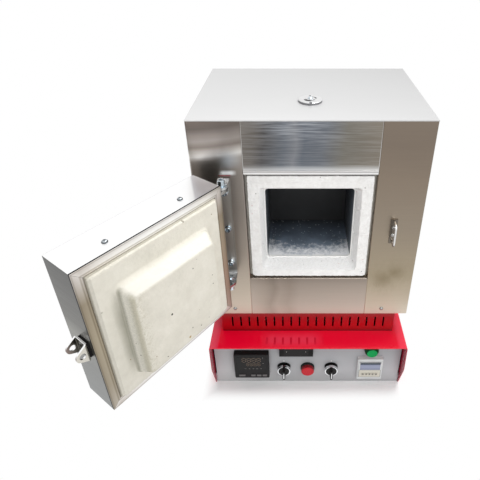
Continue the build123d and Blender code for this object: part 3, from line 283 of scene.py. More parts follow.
def paint_left_side(tree, at, facing, drift):
    # the sheet is a little dished, so the bands of the room in it rise towards the seam
    rise = add_node(tree, "MapRange", {"Value": at[0], "From Min": -casing_half, "From Max": -seam})
    rise = add_node(tree, "Math", {0: rise, 1: 1.6}, operation="POWER")
    rise = add_node(tree, "Math", {0: rise, 1: -0.012}, operation="MULTIPLY")
    level = add_node(tree, "Math", {0: at[2], 1: rise}, operation="ADD")
    wave = add_node(tree, "Math", {0: drift, 1: 0.3}, operation="MULTIPLY")
    level = add_node(tree, "Math", {0: level, 1: wave}, operation="ADD")
    tone = add_node(tree, "MapRange", {"Value": level, "From Min": casing_foot, "From Max": casing_top})
    tone = add_node(tree, "ValToRGB", {0: tone}, ramp=[
        (0.0, "#D6CABA"), (0.12, "#C2B6A6"), (0.34, "#A0958A"), (0.58, "#8F8780"), (0.74, "#928B85"),
        (0.785, "#97908A"), (0.825, "#A7A19B"), (0.845, "#DAD7D3"), (0.865, "#B5AFA9"),
        (0.885, "#857C76"), (0.91, "#9A938D"), (0.935, "#8A827D"), (0.96, "#6F6762"), (1.0, "#776D67")])
    # a pale blue-grey spot above the hinge
    wide = within(tree, at[0], -0.134, 0.012, 0.010)
    high = within(tree, at[2], 0.531, 0.010, 0.008)
    pale_spot = add_node(tree, "Math", {0: wide, 1: high}, operation="MULTIPLY")
    amount = add_node(tree, "Math", {0: pale_spot, 1: 0.65}, operation="MULTIPLY")
    tone = add_node(tree, "Mix", {0: amount, 6: tone, 7: "#C9CED4"}, data_type="RGBA")
    # the strap's upper fold and the door's white top throw a bright patch on the sheet above the hinge
    wide = within(tree, at[0], -0.137, 0.011, 0.004)
    high = within(tree, at[2], 0.506, 0.0035, 0.002)
    patch = add_node(tree, "Math", {0: wide, 1: high}, operation="MULTIPLY")
    tone = add_node(tree, "Mix", {0: patch, 6: tone, 7: "#FFFFFF"}, data_type="RGBA")
    # a thin red line at the strap's top end is a painted reflection
    wide = within(tree, at[0], -0.1425, 0.0100, 0.0005)
    high = within(tree, at[2], 0.5009, 0.0009, 0.0004)
    line = add_node(tree, "Math", {0: wide, 1: high}, operation="MULTIPLY")
    return add_node(tree, "Mix", {0: line, 6: tone, 7: "#A0484E"}, data_type="RGBA")


def paint_head(tree, at, facing, drift):
    # the head's tones, white at its foot and grey above, and the sheen across it are painted reflections
    tone = add_node(tree, "MapRange", {"Value": at[2], "From Min": 0.5045, "From Max": 0.597})
    tone = add_node(tree, "ValToRGB", {0: tone}, ramp=[
        (0.0, "#FFFFFF"), (0.07, "#E9E9E9"), (0.12, "#CACACA"), (0.5, "#C2C2C2"), (1.0, "#CDCDCD")])
    sheen = add_node(tree, "Math", {0: at[0], 1: drift}, operation="ADD")
    sheen = add_node(tree, "MapRange", {"Value": sheen, "From Min": -seam, "From Max": seam})
    sheen = add_node(tree, "ValToRGB", {0: sheen}, ramp=[
        (0.0, "#9C958D"), (0.09, "#8B857F"), (0.16, "#716F6F"), (0.30, "#8A9099"), (0.38, "#A6A9AF"),
        (0.44, "#838A95"), (0.58, "#8C9199"), (0.72, "#9A958A"), (1.0, "#ADA395")])
    tone = add_node(tree, "Mix", {0: 1.0, 6: tone, 7: sheen}, data_type="RGBA", blend_type="MULTIPLY")
    place = add_node(tree, "CombineXYZ", {0: at[0], 1: at[1], 2: at[2]})
    scuffs = add_node(tree, "VectorMath", {0: place, 1: (16.0, 9.0, 420.0)}, operation="MULTIPLY")
    scuffs = add_node(tree, "TexNoise", {"Vector": scuffs, "Scale": 1.0, "Detail": 3.0, "Roughness": 0.6})
    scuffs = add_node(tree, "MapRange", {"Value": scuffs, "From Min": 0.42, "From Max": 0.64})
    high = add_node(tree, "MapRange", {"Value": at[2], "From Min": 0.555, "From Max": 0.592})
    middle = within(tree, at[0], -0.018, 0.050, 0.030)
    high = add_node(tree, "Math", {0: middle, 1: high}, operation="MULTIPLY")
    amount = add_node(tree, "Math", {0: scuffs, 1: high}, operation="MULTIPLY")
    amount = add_node(tree, "Math", {0: amount, 1: 0.42}, operation="MULTIPLY")
    tone = add_node(tree, "Mix", {0: amount, 6: tone, 7: "#D5D9DF"}, data_type="RGBA")
    amount = add_node(tree, "Math", {0: scuffs, 1: 0.10}, operation="MULTIPLY")
    tone = add_node(tree, "Mix", {0: amount, 6: tone, 7: "#E9EBEE"}, data_type="RGBA")
    # a bright band along the head's foot is a painted highlight
    amount = add_node(tree, "Math", {0: drift, 1: 0.2}, operation="MULTIPLY")
    amount = add_node(tree, "Math", {0: at[2], 1: amount}, operation="ADD")
    amount = add_node(tree, "MapRange", {
        "Value": amount, "From Min": 0.521, "From Max": 0.508, "To Min": 0.0, "To Max": 0.9})
    return add_node(tree, "Mix", {0: amount, 6: tone, 7: "#E6E7E8"}, data_type="RGBA")


def paint_sill(tree, at, facing, drift):
    # the sill's tones, pale at its foot and darker upward, are painted reflections of the room
    tone = add_node(tree, "MapRange", {"Value": at[2], "From Min": casing_foot, "From Max": 0.2765})
    tone = add_node(tree, "ValToRGB", {0: tone}, ramp=[
        (0.0, "#D5C9BC"), (0.35, "#BFB2A6"), (0.8, "#A99D92"), (1.0, "#968B81")])
    smudge = add_node(tree, "Math", {0: at[0], 1: drift}, operation="ADD")
    smudge = add_node(tree, "MapRange", {"Value": smudge, "From Min": -seam, "From Max": seam})
    smudge = add_node(tree, "ValToRGB", {0: smudge}, ramp=[
        (0.0, "#FFFFFF"), (0.10, "#F2F1EF"), (0.18, "#DEDCDA"), (0.24, "#F0EEED"), (0.33, "#E6E4E2"),
        (0.42, "#F6F5F5"), (1.0, "#FFFFFF")])
    return add_node(tree, "Mix", {0: 1.0, 6: tone, 7: smudge}, data_type="RGBA", blend_type="MULTIPLY")


def paint_trim(tree, at, facing, drift):
    # the trim's white line is a painted highlight, and its dark bands below and above it are painted shade
    tone = add_node(tree, "MapRange", {"Value": at[2], "From Min": 0.5035, "From Max": 0.5104})
    return add_node(tree, "ValToRGB", {0: tone}, ramp=[
        (0.0, "#6E6A66"), (0.22, "#E4E3E1"), (0.5, "#FFFFFF"), (0.66, "#8D8B89"), (0.8, "#E4E3E2"),
        (1.0, "#C9C8C7")])


def paint_back(tree, at, facing, drift):
    # the tones, darker towards the top, are painted reflections as on the side sheets
    tone = add_node(tree, "Math", {0: at[2], 1: drift}, operation="ADD")
    tone = add_node(tree, "MapRange", {"Value": tone, "From Min": casing_foot, "From Max": casing_top})
    return add_node(tree, "ValToRGB", {0: tone}, ramp=[
        (0.0, "#BDB4A6"), (0.5, "#A39A8E"), (1.0, "#98908A")])


dress(brushed_stainless("brushed_stainless_lid", paint_lid, "Y", 0.015, 0.50, mirror=0.35), "top_panel")
dress(brushed_stainless("brushed_stainless_right_side", paint_right_side, streaks=0.03), "side_panel_right")
dress(brushed_stainless("brushed_stainless_left_side", paint_left_side), "side_panel_left")
dress(brushed_stainless("brushed_stainless_head", paint_head, streaks=0.07), "front_head_panel")
dress(brushed_stainless("brushed_stainless_sill", paint_sill, streaks=0.03), "front_sill_panel")
dress(brushed_stainless("bright_stainless_trim", paint_trim, streaks=0.02), "drip_strip")
dress(brushed_stainless("brushed_stainless_back", paint_back), "rear_panel", "floor_panel")


# ---- ceramic throat -----------------------------------------------------------------------------
# White ceramic fibre, vacuum-formed round a tapered core and dried. The cut faces are chalky and full
# of pinholes, with a few pinkish grains, and the sawn edges crumble a little.
def chalky_fibre(name, tones, pit, grain, paint=None, shut=False, pits=0.82, mottle=60.0):
    """Dry ceramic with pinholes and a scatter of coloured grains."""
    finish, tree = new_finish(name)
    place, facing = place_on(tree, shut)
    cloud = add_node(tree, "TexNoise", {
        "Vector": place, "Scale": mottle, "Detail": 6.0, "Roughness": 0.7})
    tone = add_node(tree, "ValToRGB", {0: cloud}, ramp=[
        (0.30, tones[0]), (0.5, tones[1]), (0.7, tones[2])])
    if paint:
        at = add_node(tree, "SeparateXYZ", {0: place}).outputs
        tone = paint(tree, at, add_node(tree, "SeparateXYZ", {0: facing}).outputs, tone)
    # pinholes and grains are about 1 mm across, one to a square centimetre or so
    cells = add_node(tree, "TexVoronoi", {"Vector": place, "Scale": 120.0})
    holes = add_node(tree, "MapRange", {
        "Value": cells.outputs["Distance"], "From Min": 0.15, "From Max": 0.07})
    rare = add_node(tree, "SeparateColor", {0: cells.outputs["Color"]})
    chosen = add_node(tree, "Math", {0: rare.outputs[0], 1: pits}, operation="GREATER_THAN")
    pitted = add_node(tree, "Math", {0: holes, 1: chosen}, operation="MULTIPLY")
    amount = add_node(tree, "Math", {0: rare.outputs[1], 1: 0.70}, operation="GREATER_THAN")
    speck = add_node(tree, "Mix", {0: amount, 6: pit, 7: grain}, data_type="RGBA")
    tone = add_node(tree, "Mix", {0: pitted, 6: tone, 7: speck}, data_type="RGBA")
    rough = add_node(tree, "TexNoise", {
        "Vector": place, "Scale": 420.0, "Detail": 5.0, "Roughness": 0.75})
    relief = add_node(tree, "Math", {0: rough, 1: pitted}, operation="SUBTRACT")
    coat_with(tree, tone, 0.95, relief, strength=0.55, distance=0.0009, Specular_IOR_Level=0.2)
    return finish


def paint_throat(tree, at, facing, tone):
    # the tapered sides of the throat are painted whiter than the sawn face, as painted light where the lamps
    # reach in
    wall_light = add_node(tree, "Math", {0: facing[1], 1: 1.0}, operation="ADD")
    amount = add_node(tree, "MapRange", {
        "Value": wall_light, "From Min": 0.3, "From Max": 0.9, "To Min": 0.0, "To Max": 0.95})
    return add_node(tree, "Mix", {0: amount, 6: tone, 7: "#FFFFFF"}, data_type="RGBA")


throat_fibre = chalky_fibre("vacuum_formed_fibre", ("#E4E2E0", "#EDECEA", "#F5F4F3"), "#8E8A86",
    "#D39A9E", paint_throat)
dress(throat_fibre, "front_collar", "terminal_blocks")


def add_piece(name, mesh, finish, body, slot, *replaced):
    """Makes an object of a mesh, riding on the body that carries it."""
    bmesh.ops.recalc_face_normals(mesh, faces=mesh.faces)
    data = bpy.data.meshes.new(name)
    mesh.to_mesh(data)
    mesh.free()
    data.materials.append(finish)
    piece = bpy.data.objects.new(name, data)
    bpy.context.scene.collection.objects.link(piece)
    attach(piece, body)
    if replaced:
        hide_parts(*replaced)
    return piece


def crumbled(name, node, finish, body, slot, grid, depth, tuck=None):
    """A brittle ceramic piece after the solid, cut to a fine grid and worn back at its surface.

    What lies beyond tuck is set back by the wear first, so that it still meets the piece behind."""
    mesh = bmesh.new()
    mesh.from_mesh(part[node].data)
    mesh.transform(part[node].matrix_world)
    bmesh.ops.remove_doubles(mesh, verts=mesh.verts, dist=0.00001)
    for corner in mesh.verts:
        if tuck and corner.co.y > tuck:
            corner.co.y += depth
    piece = add_piece(name, mesh, finish, body, slot, node)
    cut = piece.modifiers.new("fine_grid", "REMESH")
    cut.mode = "VOXEL"
    cut.voxel_size = grid
    cut.use_smooth_shade = True
    for label, size, share in (("lumps", 0.004, 0.60), ("crumbs", 0.0018, 0.40)):
        pattern = bpy.data.textures.new(f"{name}_{label}", "CLOUDS")
        pattern.noise_scale = size
        wear = piece.modifiers.new(label, "DISPLACE")
        wear.texture = pattern
        wear.mid_level = 1.0
        wear.strength = depth * share
    return piece


crumbled("formed_fibre_collar", "front_collar", throat_fibre, "furnace", "throat_ceramic",
         grid=0.0013, depth=0.0030, tuck=0.028)


# ---- folded edges at the seams ------------------------------------------------------------------
# The side sheets are folded back behind the head and the sill. What shows of the folds is a hair line
# of bright metal in each seam.
def paint_fold(tree, at, facing, drift):
    # the fold's tones by height are painted reflections, as on the sheets
    tone = add_node(tree, "MapRange", {"Value": at[2], "From Min": casing_foot, "From Max": casing_top})
    return add_node(tree, "ValToRGB", {0: tone}, ramp=[
        (0.0, "#C4B8AA"), (0.22, "#A89C90"), (0.76, "#D9D8D7"), (1.0, "#A5A19D")])


fold_width = 0.0016
fold_depth = 0.0006
fold_at = 0.1108
mesh = bmesh.new()
for side in (-1, 1):
    for low, high in ((0.1840, 0.2760), (0.5050, 0.5975)):
        fold = bmesh.ops.create_cube(mesh, size=1.0)["verts"]
        bmesh.ops.scale(mesh, vec=(fold_width, fold_depth, high - low), verts=fold)
        bmesh.ops.translate(mesh, vec=(side * fold_at, 0.0005, (low + high) / 2), verts=fold)
add_piece("seam_folds", mesh, brushed_stainless("bright_folded_edge", paint_fold, streaks=0.02), "furnace",
          "stainless_sheet")


# ---- muffle -------------------------------------------------------------------------------------
# Fired silicon carbide refractory, dark blue-grey, cast in one piece. White fibre dust from the throat
# has blown in over the front of the hearth and thins out into loose specks behind.
muffle_clay, tree = new_finish("fired_carbide_refractory")
place, facing = place_on(tree)
at = add_node(tree, "SeparateXYZ", {0: place}).outputs
facing = add_node(tree, "SeparateXYZ", {0: facing}).outputs
hearth = add_node(tree, "Math", {0: facing[2], 1: 0.5}, operation="GREATER_THAN")
# painted shade: the chamber's sides and hearth darken towards the back, and the hearth's front is painted
# pale blue-grey as painted light
depth = add_node(tree, "MapRange", {"Value": at[1], "From Min": 0.030, "From Max": 0.150})
shaded_walls = add_node(tree, "ValToRGB", {0: depth}, ramp=[
    (0.0, "#5F6770"), (0.35, "#3A3F46"), (1.0, "#17181A")])
shaded_hearth = add_node(tree, "ValToRGB", {0: depth}, ramp=[
    (0.0, "#A3AEBC"), (0.25, "#6B7887"), (0.6, "#454F5B"), (1.0, "#16191D")])
tone = add_node(tree, "Mix", {0: hearth, 6: shaded_walls, 7: shaded_hearth}, data_type="RGBA")
blotch = add_node(tree, "TexNoise", {"Vector": place, "Scale": 26.0, "Detail": 7.0, "Roughness": 0.62})
cloud = add_node(tree, "MapRange", {
    "Value": blotch, "From Min": 0.3, "From Max": 0.7, "To Min": 0.70, "To Max": 1.4})
tone = add_node(tree, "Mix", {0: 1.0, 6: tone, 7: cloud}, data_type="RGBA", blend_type="MULTIPLY")
# the dust lies thickest at the lip and in the two front corners
corner = add_node(tree, "Math", {0: at[0]}, operation="ABSOLUTE")
corner = add_node(tree, "MapRange", {
    "Value": corner, "From Min": 0.045, "From Max": 0.077, "To Min": 0.0, "To Max": 0.16})
ragged = add_node(tree, "TexNoise", {"Vector": place, "Scale": 95.0, "Detail": 8.0, "Roughness": 0.78})
ragged = add_node(tree, "Math", {0: ragged, 1: corner}, operation="ADD")
drift = add_node(tree, "Math", {0: ragged, 1: depth}, operation="SUBTRACT")
drift = add_node(tree, "MapRange", {"Value": drift, "From Min": 0.20, "From Max": 0.50})
cells = add_node(tree, "TexVoronoi", {"Vector": place, "Scale": 330.0})
rare = add_node(tree, "SeparateColor", {0: cells.outputs["Color"]})
loose = add_node(tree, "MapRange", {
    "Value": cells.outputs["Distance"], "From Min": 0.26, "From Max": 0.12})
kept = add_node(tree, "Math", {0: rare.outputs[0], 1: 0.84}, operation="GREATER_THAN")
loose = add_node(tree, "Math", {0: loose, 1: kept}, operation="MULTIPLY")
white = add_node(tree, "Math", {0: drift, 1: loose}, operation="MAXIMUM")
white = add_node(tree, "Math", {0: white, 1: hearth}, operation="MULTIPLY")
crumbs = add_node(tree, "Math", {0: depth, 1: 0.7}, operation="LESS_THAN")
crumbs = add_node(tree, "Math", {0: loose, 1: crumbs}, operation="MULTIPLY")
amount = add_node(tree, "Math", {0: crumbs, 1: 0.6}, operation="MULTIPLY")
amount = add_node(tree, "Math", {0: white, 1: amount}, operation="MAXIMUM")
tone = add_node(tree, "Mix", {0: amount, 6: tone, 7: "#FAFBFD"}, data_type="RGBA")
# its rim is bedded in the same white fibre as the throat
rim = add_node(tree, "MapRange", {"Value": facing[1], "From Min": -0.4, "From Max": -0.7})
lip = add_node(tree, "MapRange", {"Value": at[1], "From Min": 0.034, "From Max": 0.032})
rim = add_node(tree, "Math", {0: rim, 1: lip}, operation="MULTIPLY")
mist = add_node(tree, "MapRange", {"Value": at[1], "From Min": 0.036, "From Max": 0.031})
low = add_node(tree, "MapRange", {
    "Value": at[2], "From Min": 0.330, "From Max": 0.315, "To Min": 0.35, "To Max": 0.9})
mist = add_node(tree, "Math", {0: mist, 1: low}, operation="MULTIPLY")
amount = add_node(tree, "MapRange", {"Value": ragged, "From Min": 0.3, "From Max": 0.6})
amount = add_node(tree, "Math", {0: mist, 1: amount}, operation="MULTIPLY")
amount = add_node(tree, "Math", {0: rim, 1: amount}, operation="MAXIMUM")
tone = add_node(tree, "Mix", {0: amount, 6: tone, 7: "#EEEDEB"}, data_type="RGBA")
coat_with(tree, tone, 0.6, blotch, strength=0.4, distance=0.001)
dress(muffle_clay, "muffle_chamber")


# ---- what the casing hides ----------------------------------------------------------------------
# Pressed alumina-silicate board cut to fit, a resistance ribbon that has oxidised to a dull brown, and
# the sheath of the thermocouple in the same heat-stained alloy.
dress(chalky_fibre("pressed_fibre_board", ("#D8D5CC", "#E2DFD6", "#ECEAE2"), "#A8A293", "#C9BFA2"),
      "insulation_boards", "door_insulation")
oxide, tree = new_finish("oxidised_resistance_alloy")
place = place_on(tree)[0]
scale = add_node(tree, "TexNoise", {"Vector": place, "Scale": 180.0, "Detail": 5.0})
tone = add_node(tree, "ValToRGB", {0: scale}, ramp=[(0.3, "#3B332C"), (0.5, "#574C41"), (0.7, "#71665A")])
coat_with(tree, tone, 0.55, scale, strength=0.4, metallic=0.7, distance=0.0003)
dress(oxide, "heating_winding", "thermocouple")


# ---- small steel fittings -----------------------------------------------------------------------
# Stainless strip and bar, cut, bent and polished by hand: hinge strap, door bracket, staple, clevis and
# the parts of the vent. They mirror the room softly, with fine scratches from handling.
def polished_steel(name, paint, rough=0.26, shut=False):
    """Hand-polished steel with faint scratches."""
    finish, tree = new_finish(name)
    place, facing = place_on(tree, shut)
    slow = add_node(tree, "TexNoise", {"Vector": place, "Scale": 45.0, "Detail": 3.0})
    if callable(paint):
        at = add_node(tree, "SeparateXYZ", {0: place}).outputs
        tone = paint(tree, at, add_node(tree, "SeparateXYZ", {0: facing}).outputs, slow)
    else:
        tone = add_node(tree, "ValToRGB", {0: slow}, ramp=[(0.32, paint[0]), (0.66, paint[1])])
    # handling scratches: really finer, drawn about 1 mm apart so that they show in the gloss
    scratch = 0.05
    fine = add_node(tree, "VectorMath", {0: place, 1: (60.0, 900.0, 60.0)}, operation="MULTIPLY")
    fine = add_node(tree, "TexNoise", {"Vector": fine, "Scale": 1.0, "Detail": 3.0})
    matt = add_node(tree, "MapRange", {
        "Value": fine, "From Min": 0.0, "From Max": 1.0, "To Min": rough - scratch,
        "To Max": rough + scratch})
    coat_with(tree, tone, matt, fine, strength=0.15, metallic=1.0, distance=0.0002)
    return finish


def paint_strap(tree, at, facing, slow):
    # painted reflections by height with a painted highlight low down, flat grey on upward faces, and painted
    # shade on the sides
    tone = add_node(tree, "MapRange", {"Value": at[2], "From Min": 0.290, "From Max": 0.4995})
    tone = add_node(tree, "ValToRGB", {0: tone}, ramp=[
        (0.0, "#B9B6B2"), (0.035, "#F8F7F5"), (0.06, "#B0ACA7"), (0.16, "#C4C0BB"), (0.3, "#ADA79F"),
        (0.62, "#B1ABA4"), (0.78, "#B3AEA7"), (0.93, "#BBB9B5"), (1.0, "#D2D3D3")])
    amount = add_node(tree, "MapRange", {"Value": facing[2], "From Min": 0.4, "From Max": 0.8})
    tone = add_node(tree, "Mix", {0: amount, 6: tone, 7: "#B9BBBC"}, data_type="RGBA")
    edge = within(tree, at[0], -0.1435, 0.0078, 0.0012)
    amount = add_node(tree, "Math", {0: 1.0, 1: edge}, operation="SUBTRACT")
    amount = add_node(tree, "Math", {0: amount, 1: 0.30}, operation="MULTIPLY")
    return add_node(tree, "Mix", {0: amount, 6: tone, 7: "#5A554F"}, data_type="RGBA")


def paint_clevis(tree, at, facing, slow):
    # upward faces are painted white as a painted highlight, outward faces near the door pale as a painted
    # reflection, the rest dark as painted shade
    upper = add_node(tree, "MapRange", {"Value": facing[2], "From Min": 0.3, "From Max": 0.8})
    near = add_node(tree, "MapRange", {"Value": at[1], "From Min": -0.026, "From Max": -0.021})
    outward = add_node(tree, "MapRange", {"Value": facing[1], "From Min": 0.3, "From Max": 0.8})
    near = add_node(tree, "Math", {0: near, 1: outward}, operation="MULTIPLY")
    tone = add_node(tree, "MapRange", {"Value": at[0], "From Min": 0.124, "From Max": 0.142})
    tone = add_node(tree, "ValToRGB", {0: tone}, ramp=[
        (0.0, "#55554D"), (0.5, "#6E6A63"), (1.0, "#94857F")])
    tone = add_node(tree, "Mix", {0: near, 6: tone, 7: "#D9D5CB"}, data_type="RGBA")
    return add_node(tree, "Mix", {0: upper, 6: tone, 7: "#FFFFFF"}, data_type="RGBA")


def paint_staple(tree, at, facing, slow):
    # the plate mirrors the dark reveal of the loop, and the loop the bright room
    loop = add_node(tree, "Math", {0: facing[1], 1: 0.6}, operation="MULTIPLY")
    loop = add_node(tree, "Math", {0: facing[2], 1: loop}, operation="SUBTRACT")
    loop = add_node(tree, "MapRange", {"Value": loop, "From Min": 0.0, "From Max": 0.7})
    tone = add_node(tree, "Mix", {0: loop, 6: "#6B655E", 7: "#F1F0EE"}, data_type="RGBA")
    amount = add_node(tree, "MapRange", {"Value": at[1], "From Min": -0.0050, "From Max": -0.0025})
    return add_node(tree, "Mix", {0: amount, 6: tone, 7: "#756D64"}, data_type="RGBA")


def paint_vent(tree, at, facing, slow):
    # upward faces are painted pale and the flanks dark grey, as painted light and shade
    amount = add_node(tree, "MapRange", {"Value": facing[2], "From Min": 0.4, "From Max": 0.7})
    return add_node(tree, "Mix", {0: amount, 6: "#8C8C8F", 7: "#DADADA"}, data_type="RGBA")


door_screw_at = 0.0614
door_screw_depth = 0.031


def paint_door_screw(tree, at, facing, slow):
    # pan heads; the cross recess is painted as a dark cross, and the flanks darker than the tops, both as
    # painted shade
    wide = add_node(tree, "Math", {0: at[0]}, operation="ABSOLUTE")
    wide = add_node(tree, "Math", {0: wide, 1: door_screw_at}, operation="SUBTRACT")
    wide = add_node(tree, "Math", {0: wide}, operation="ABSOLUTE")
    deep = add_node(tree, "Math", {0: at[1], 1: door_screw_depth}, operation="ADD")
    deep = add_node(tree, "Math", {0: deep}, operation="ABSOLUTE")
    arm = add_node(tree, "Math", {0: wide, 1: deep}, operation="MINIMUM")
    arm = add_node(tree, "Math", {0: arm, 1: 0.0006}, operation="LESS_THAN")
    reach = add_node(tree, "Math", {0: wide, 1: deep}, operation="MAXIMUM")
    reach = add_node(tree, "Math", {0: reach, 1: 0.0025}, operation="LESS_THAN")
    cross = add_node(tree, "Math", {0: arm, 1: reach}, operation="MULTIPLY")
    amount = add_node(tree, "MapRange", {"Value": facing[2], "From Min": 0.55, "From Max": 0.9})
    tone = add_node(tree, "Mix", {0: amount, 6: "#5F6366", 7: "#C4CACE"}, data_type="RGBA")
    return add_node(tree, "Mix", {0: cross, 6: tone, 7: "#3E4144"}, data_type="RGBA")


dress(polished_steel("polished_stainless_strip", ("#8E8C89", "#C4C2BF")), "door_hinge_bracket", "vent_tube")
dress(polished_steel("bent_stainless_rod", paint_staple, 0.30), "latch_staple")
dress(polished_steel("zinc_plated_pan_head", paint_door_screw, 0.30, shut=True), "door_screws")
dress(polished_steel("satin_stainless_strap", paint_strap, 0.42), "hinge_strap")
dress(polished_steel("satin_stainless_vent", paint_vent, 0.45), "vent_flange", "vent_damper")
dress(polished_steel("bent_stainless_clevis", paint_clevis, 0.30, shut=True), "latch_clevis")
dress(polished_steel("bright_zinc_plate", ("#9DABB5", "#E3EAEF"), 0.20), "hinge_strap_screws",
      "pivot_bolts", "vent_rivet")
dress(polished_steel("dull_zinc_plate", ("#6C6A68", "#B3B2B0"), 0.26), "casing_screws")
dress(polished_steel("dull_steel_bolt", ("#4A4A45", "#66645E"), 0.40), "latch_bolt")


# ---- plinth and base cover ----------------------------------------------------------------------
# Mild steel sheet, folded, then powder-coated a glossy red. The coat flows out almost level, with a
# trace of orange peel; its darker tone in the folds is painted shade.
def powder_coat(name, tones, rough, peel, paint):
    """Stoved powder coat over steel with a faint orange peel."""
    finish, tree = new_finish(name)
    place, facing = place_on(tree)
    slow = add_node(tree, "TexNoise", {"Vector": place, "Scale": 7.0, "Detail": 2.0})
    tone = add_node(tree, "ValToRGB", {0: slow}, ramp=[(0.3, tones[0]), (0.7, tones[1])])
    at = add_node(tree, "SeparateXYZ", {0: place}).outputs
    tone = paint(tree, at, add_node(tree, "SeparateXYZ", {0: facing}).outputs, tone)
    # the peel's ripples are 1 to 2 mm long
    ripple = add_node(tree, "TexNoise", {"Vector": place, "Scale": 520.0, "Detail": 1.0})
    coat_with(tree, tone, rough, ripple, strength=peel)
    return finish


def paint_cover(tree, at, facing, tone):
    # painted shade, darker towards the right
    shade = add_node(tree, "MapRange", {"Value": at[0], "From Min": -0.18, "From Max": 0.18})
    shade = add_node(tree, "ValToRGB", {0: shade}, ramp=[(0.0, "#FFFFFF"), (1.0, "#EAEAEA")])
    tone = add_node(tree, "Mix", {0: 1.0, 6: tone, 7: shade}, data_type="RGBA", blend_type="MULTIPLY")
    # the level ledge mirrors the bright room beside the plinth, and a pale patch of it, barred by the
    # plinth's slots, in front of it
    level = add_node(tree, "MapRange", {"Value": facing[2], "From Min": 0.5, "From Max": 0.8})
    ends = add_node(tree, "Math", {0: at[0]}, operation="ABSOLUTE")
    ends = add_node(tree, "MapRange", {"Value": ends, "From Min": 0.1785, "From Max": 0.1815})
    ends = add_node(tree, "Math", {0: level, 1: ends}, operation="MULTIPLY")
    share = add_node(tree, "MapRange", {
        "Value": at[0], "From Min": -0.18, "From Max": 0.18, "To Min": 0.55, "To Max": 0.22})
    amount = add_node(tree, "Math", {0: ends, 1: share}, operation="MULTIPLY")
    tone = add_node(tree, "Mix", {0: amount, 6: tone, 7: "#F6466A"}, data_type="RGBA")
    wide = within(tree, at[0], -0.032, 0.054, 0.012)
    deep = within(tree, at[1], -0.022, 0.014, 0.009)
    patch = add_node(tree, "Math", {0: wide, 1: deep}, operation="MULTIPLY")
    patch = add_node(tree, "Math", {0: patch, 1: level}, operation="MULTIPLY")
    amount = add_node(tree, "Math", {0: patch, 1: 0.28}, operation="MULTIPLY")
    tone = add_node(tree, "Mix", {0: amount, 6: tone, 7: "#E0607F"}, data_type="RGBA")
    beat = add_node(tree, "Math", {0: at[0], 1: 0.0019}, operation="ADD")
    beat = add_node(tree, "Math", {0: beat, 1: 0.00815}, operation="PINGPONG")
    bars = add_node(tree, "MapRange", {"Value": beat, "From Min": 0.0026, "From Max": 0.0014})
    deep = within(tree, at[1], -0.025, 0.009, 0.002)
    bars = add_node(tree, "Math", {0: bars, 1: deep}, operation="MULTIPLY")
    amount = add_node(tree, "Math", {0: bars, 1: patch}, operation="MULTIPLY")
    amount = add_node(tree, "Math", {0: amount, 1: 0.85}, operation="MULTIPLY")
    tone = add_node(tree, "Mix", {0: amount, 6: tone, 7: "#C80028"}, data_type="RGBA")
    # the cheeks' edges and inner faces mirror the dark floor of the room
    inward = add_node(tree, "Math", {0: facing[0], 1: at[0]}, operation="MULTIPLY")
    inward = add_node(tree, "Math", {0: inward, 1: 0.05}, operation="LESS_THAN")
    inner = add_node(tree, "Math", {0: at[0]}, operation="ABSOLUTE")
    inner = add_node(tree, "Math", {0: inner, 1: 0.1935}, operation="GREATER_THAN")
    inner = add_node(tree, "Math", {0: inward, 1: inner}, operation="MULTIPLY")
    low = add_node(tree, "Math", {0: at[2], 1: 0.1285}, operation="LESS_THAN")
    inner = add_node(tree, "Math", {0: inner, 1: low}, operation="MULTIPLY")
    amount = add_node(tree, "Math", {0: inner, 1: 0.9}, operation="MULTIPLY")
    tone = add_node(tree, "Mix", {0: amount, 6: tone, 7: "#A32A40"}, data_type="RGBA")
    # what the plinth stands over is unlit
    under = add_node(tree, "Math", {0: at[0]}, operation="ABSOLUTE")
    under = add_node(tree, "Math", {0: under, 1: 0.172}, operation="LESS_THAN")
    under = add_node(tree, "Math", {0: level, 1: under}, operation="MULTIPLY")
    deep = within(tree, at[1], 0.108, 0.100, 0.002)
    under = add_node(tree, "Math", {0: under, 1: deep}, operation="MULTIPLY")
    return add_node(tree, "Mix", {0: under, 6: tone, 7: "#12040A"}, data_type="RGBA")


plinth_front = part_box("plinth")[0][1]
cover_top = 0.132


def paint_plinth(tree, at, facing, tone):
    # the plinth is painted darker at its foot and under the casing above it, as painted shade
    foot = add_node(tree, "MapRange", {"Value": at[2], "From Min": cover_top, "From Max": casing_foot})
    foot = add_node(tree, "ValToRGB", {0: foot}, ramp=[
        (0.0, "#8A8A8A"), (0.12, "#E0E0E0"), (0.35, "#F6F6F6"), (1.0, "#C4C4C4")])
    tone = add_node(tree, "Mix", {0: 1.0, 6: tone, 7: foot}, data_type="RGBA", blend_type="MULTIPLY")
    # the sawn sides of the slots and the inside of the box are unlit
    inside = add_node(tree, "Math", {0: at[1], 1: plinth_front + 0.0004}, operation="GREATER_THAN")
    beside = add_node(tree, "Math", {0: at[0]}, operation="ABSOLUTE")
    beside = add_node(tree, "Math", {0: beside, 1: 0.170}, operation="LESS_THAN")
    inside = add_node(tree, "Math", {0: inside, 1: beside}, operation="MULTIPLY")
    ahead = add_node(tree, "Math", {0: at[1], 1: 0.200}, operation="LESS_THAN")
    inside = add_node(tree, "Math", {0: inside, 1: ahead}, operation="MULTIPLY")
    amount = add_node(tree, "Math", {0: inside, 1: 0.93}, operation="MULTIPLY")
    return add_node(tree, "Mix", {0: amount, 6: tone, 7: "#12040A"}, data_type="RGBA")


dress(powder_coat("glossy_red_cover", ("#FA0030", "#FF0234"), 0.20, 0.05, paint_cover), "base_cover")
dress(powder_coat("glossy_red_plinth", ("#B4000F", "#C00014"), 0.28, 0.05, paint_plinth), "plinth")


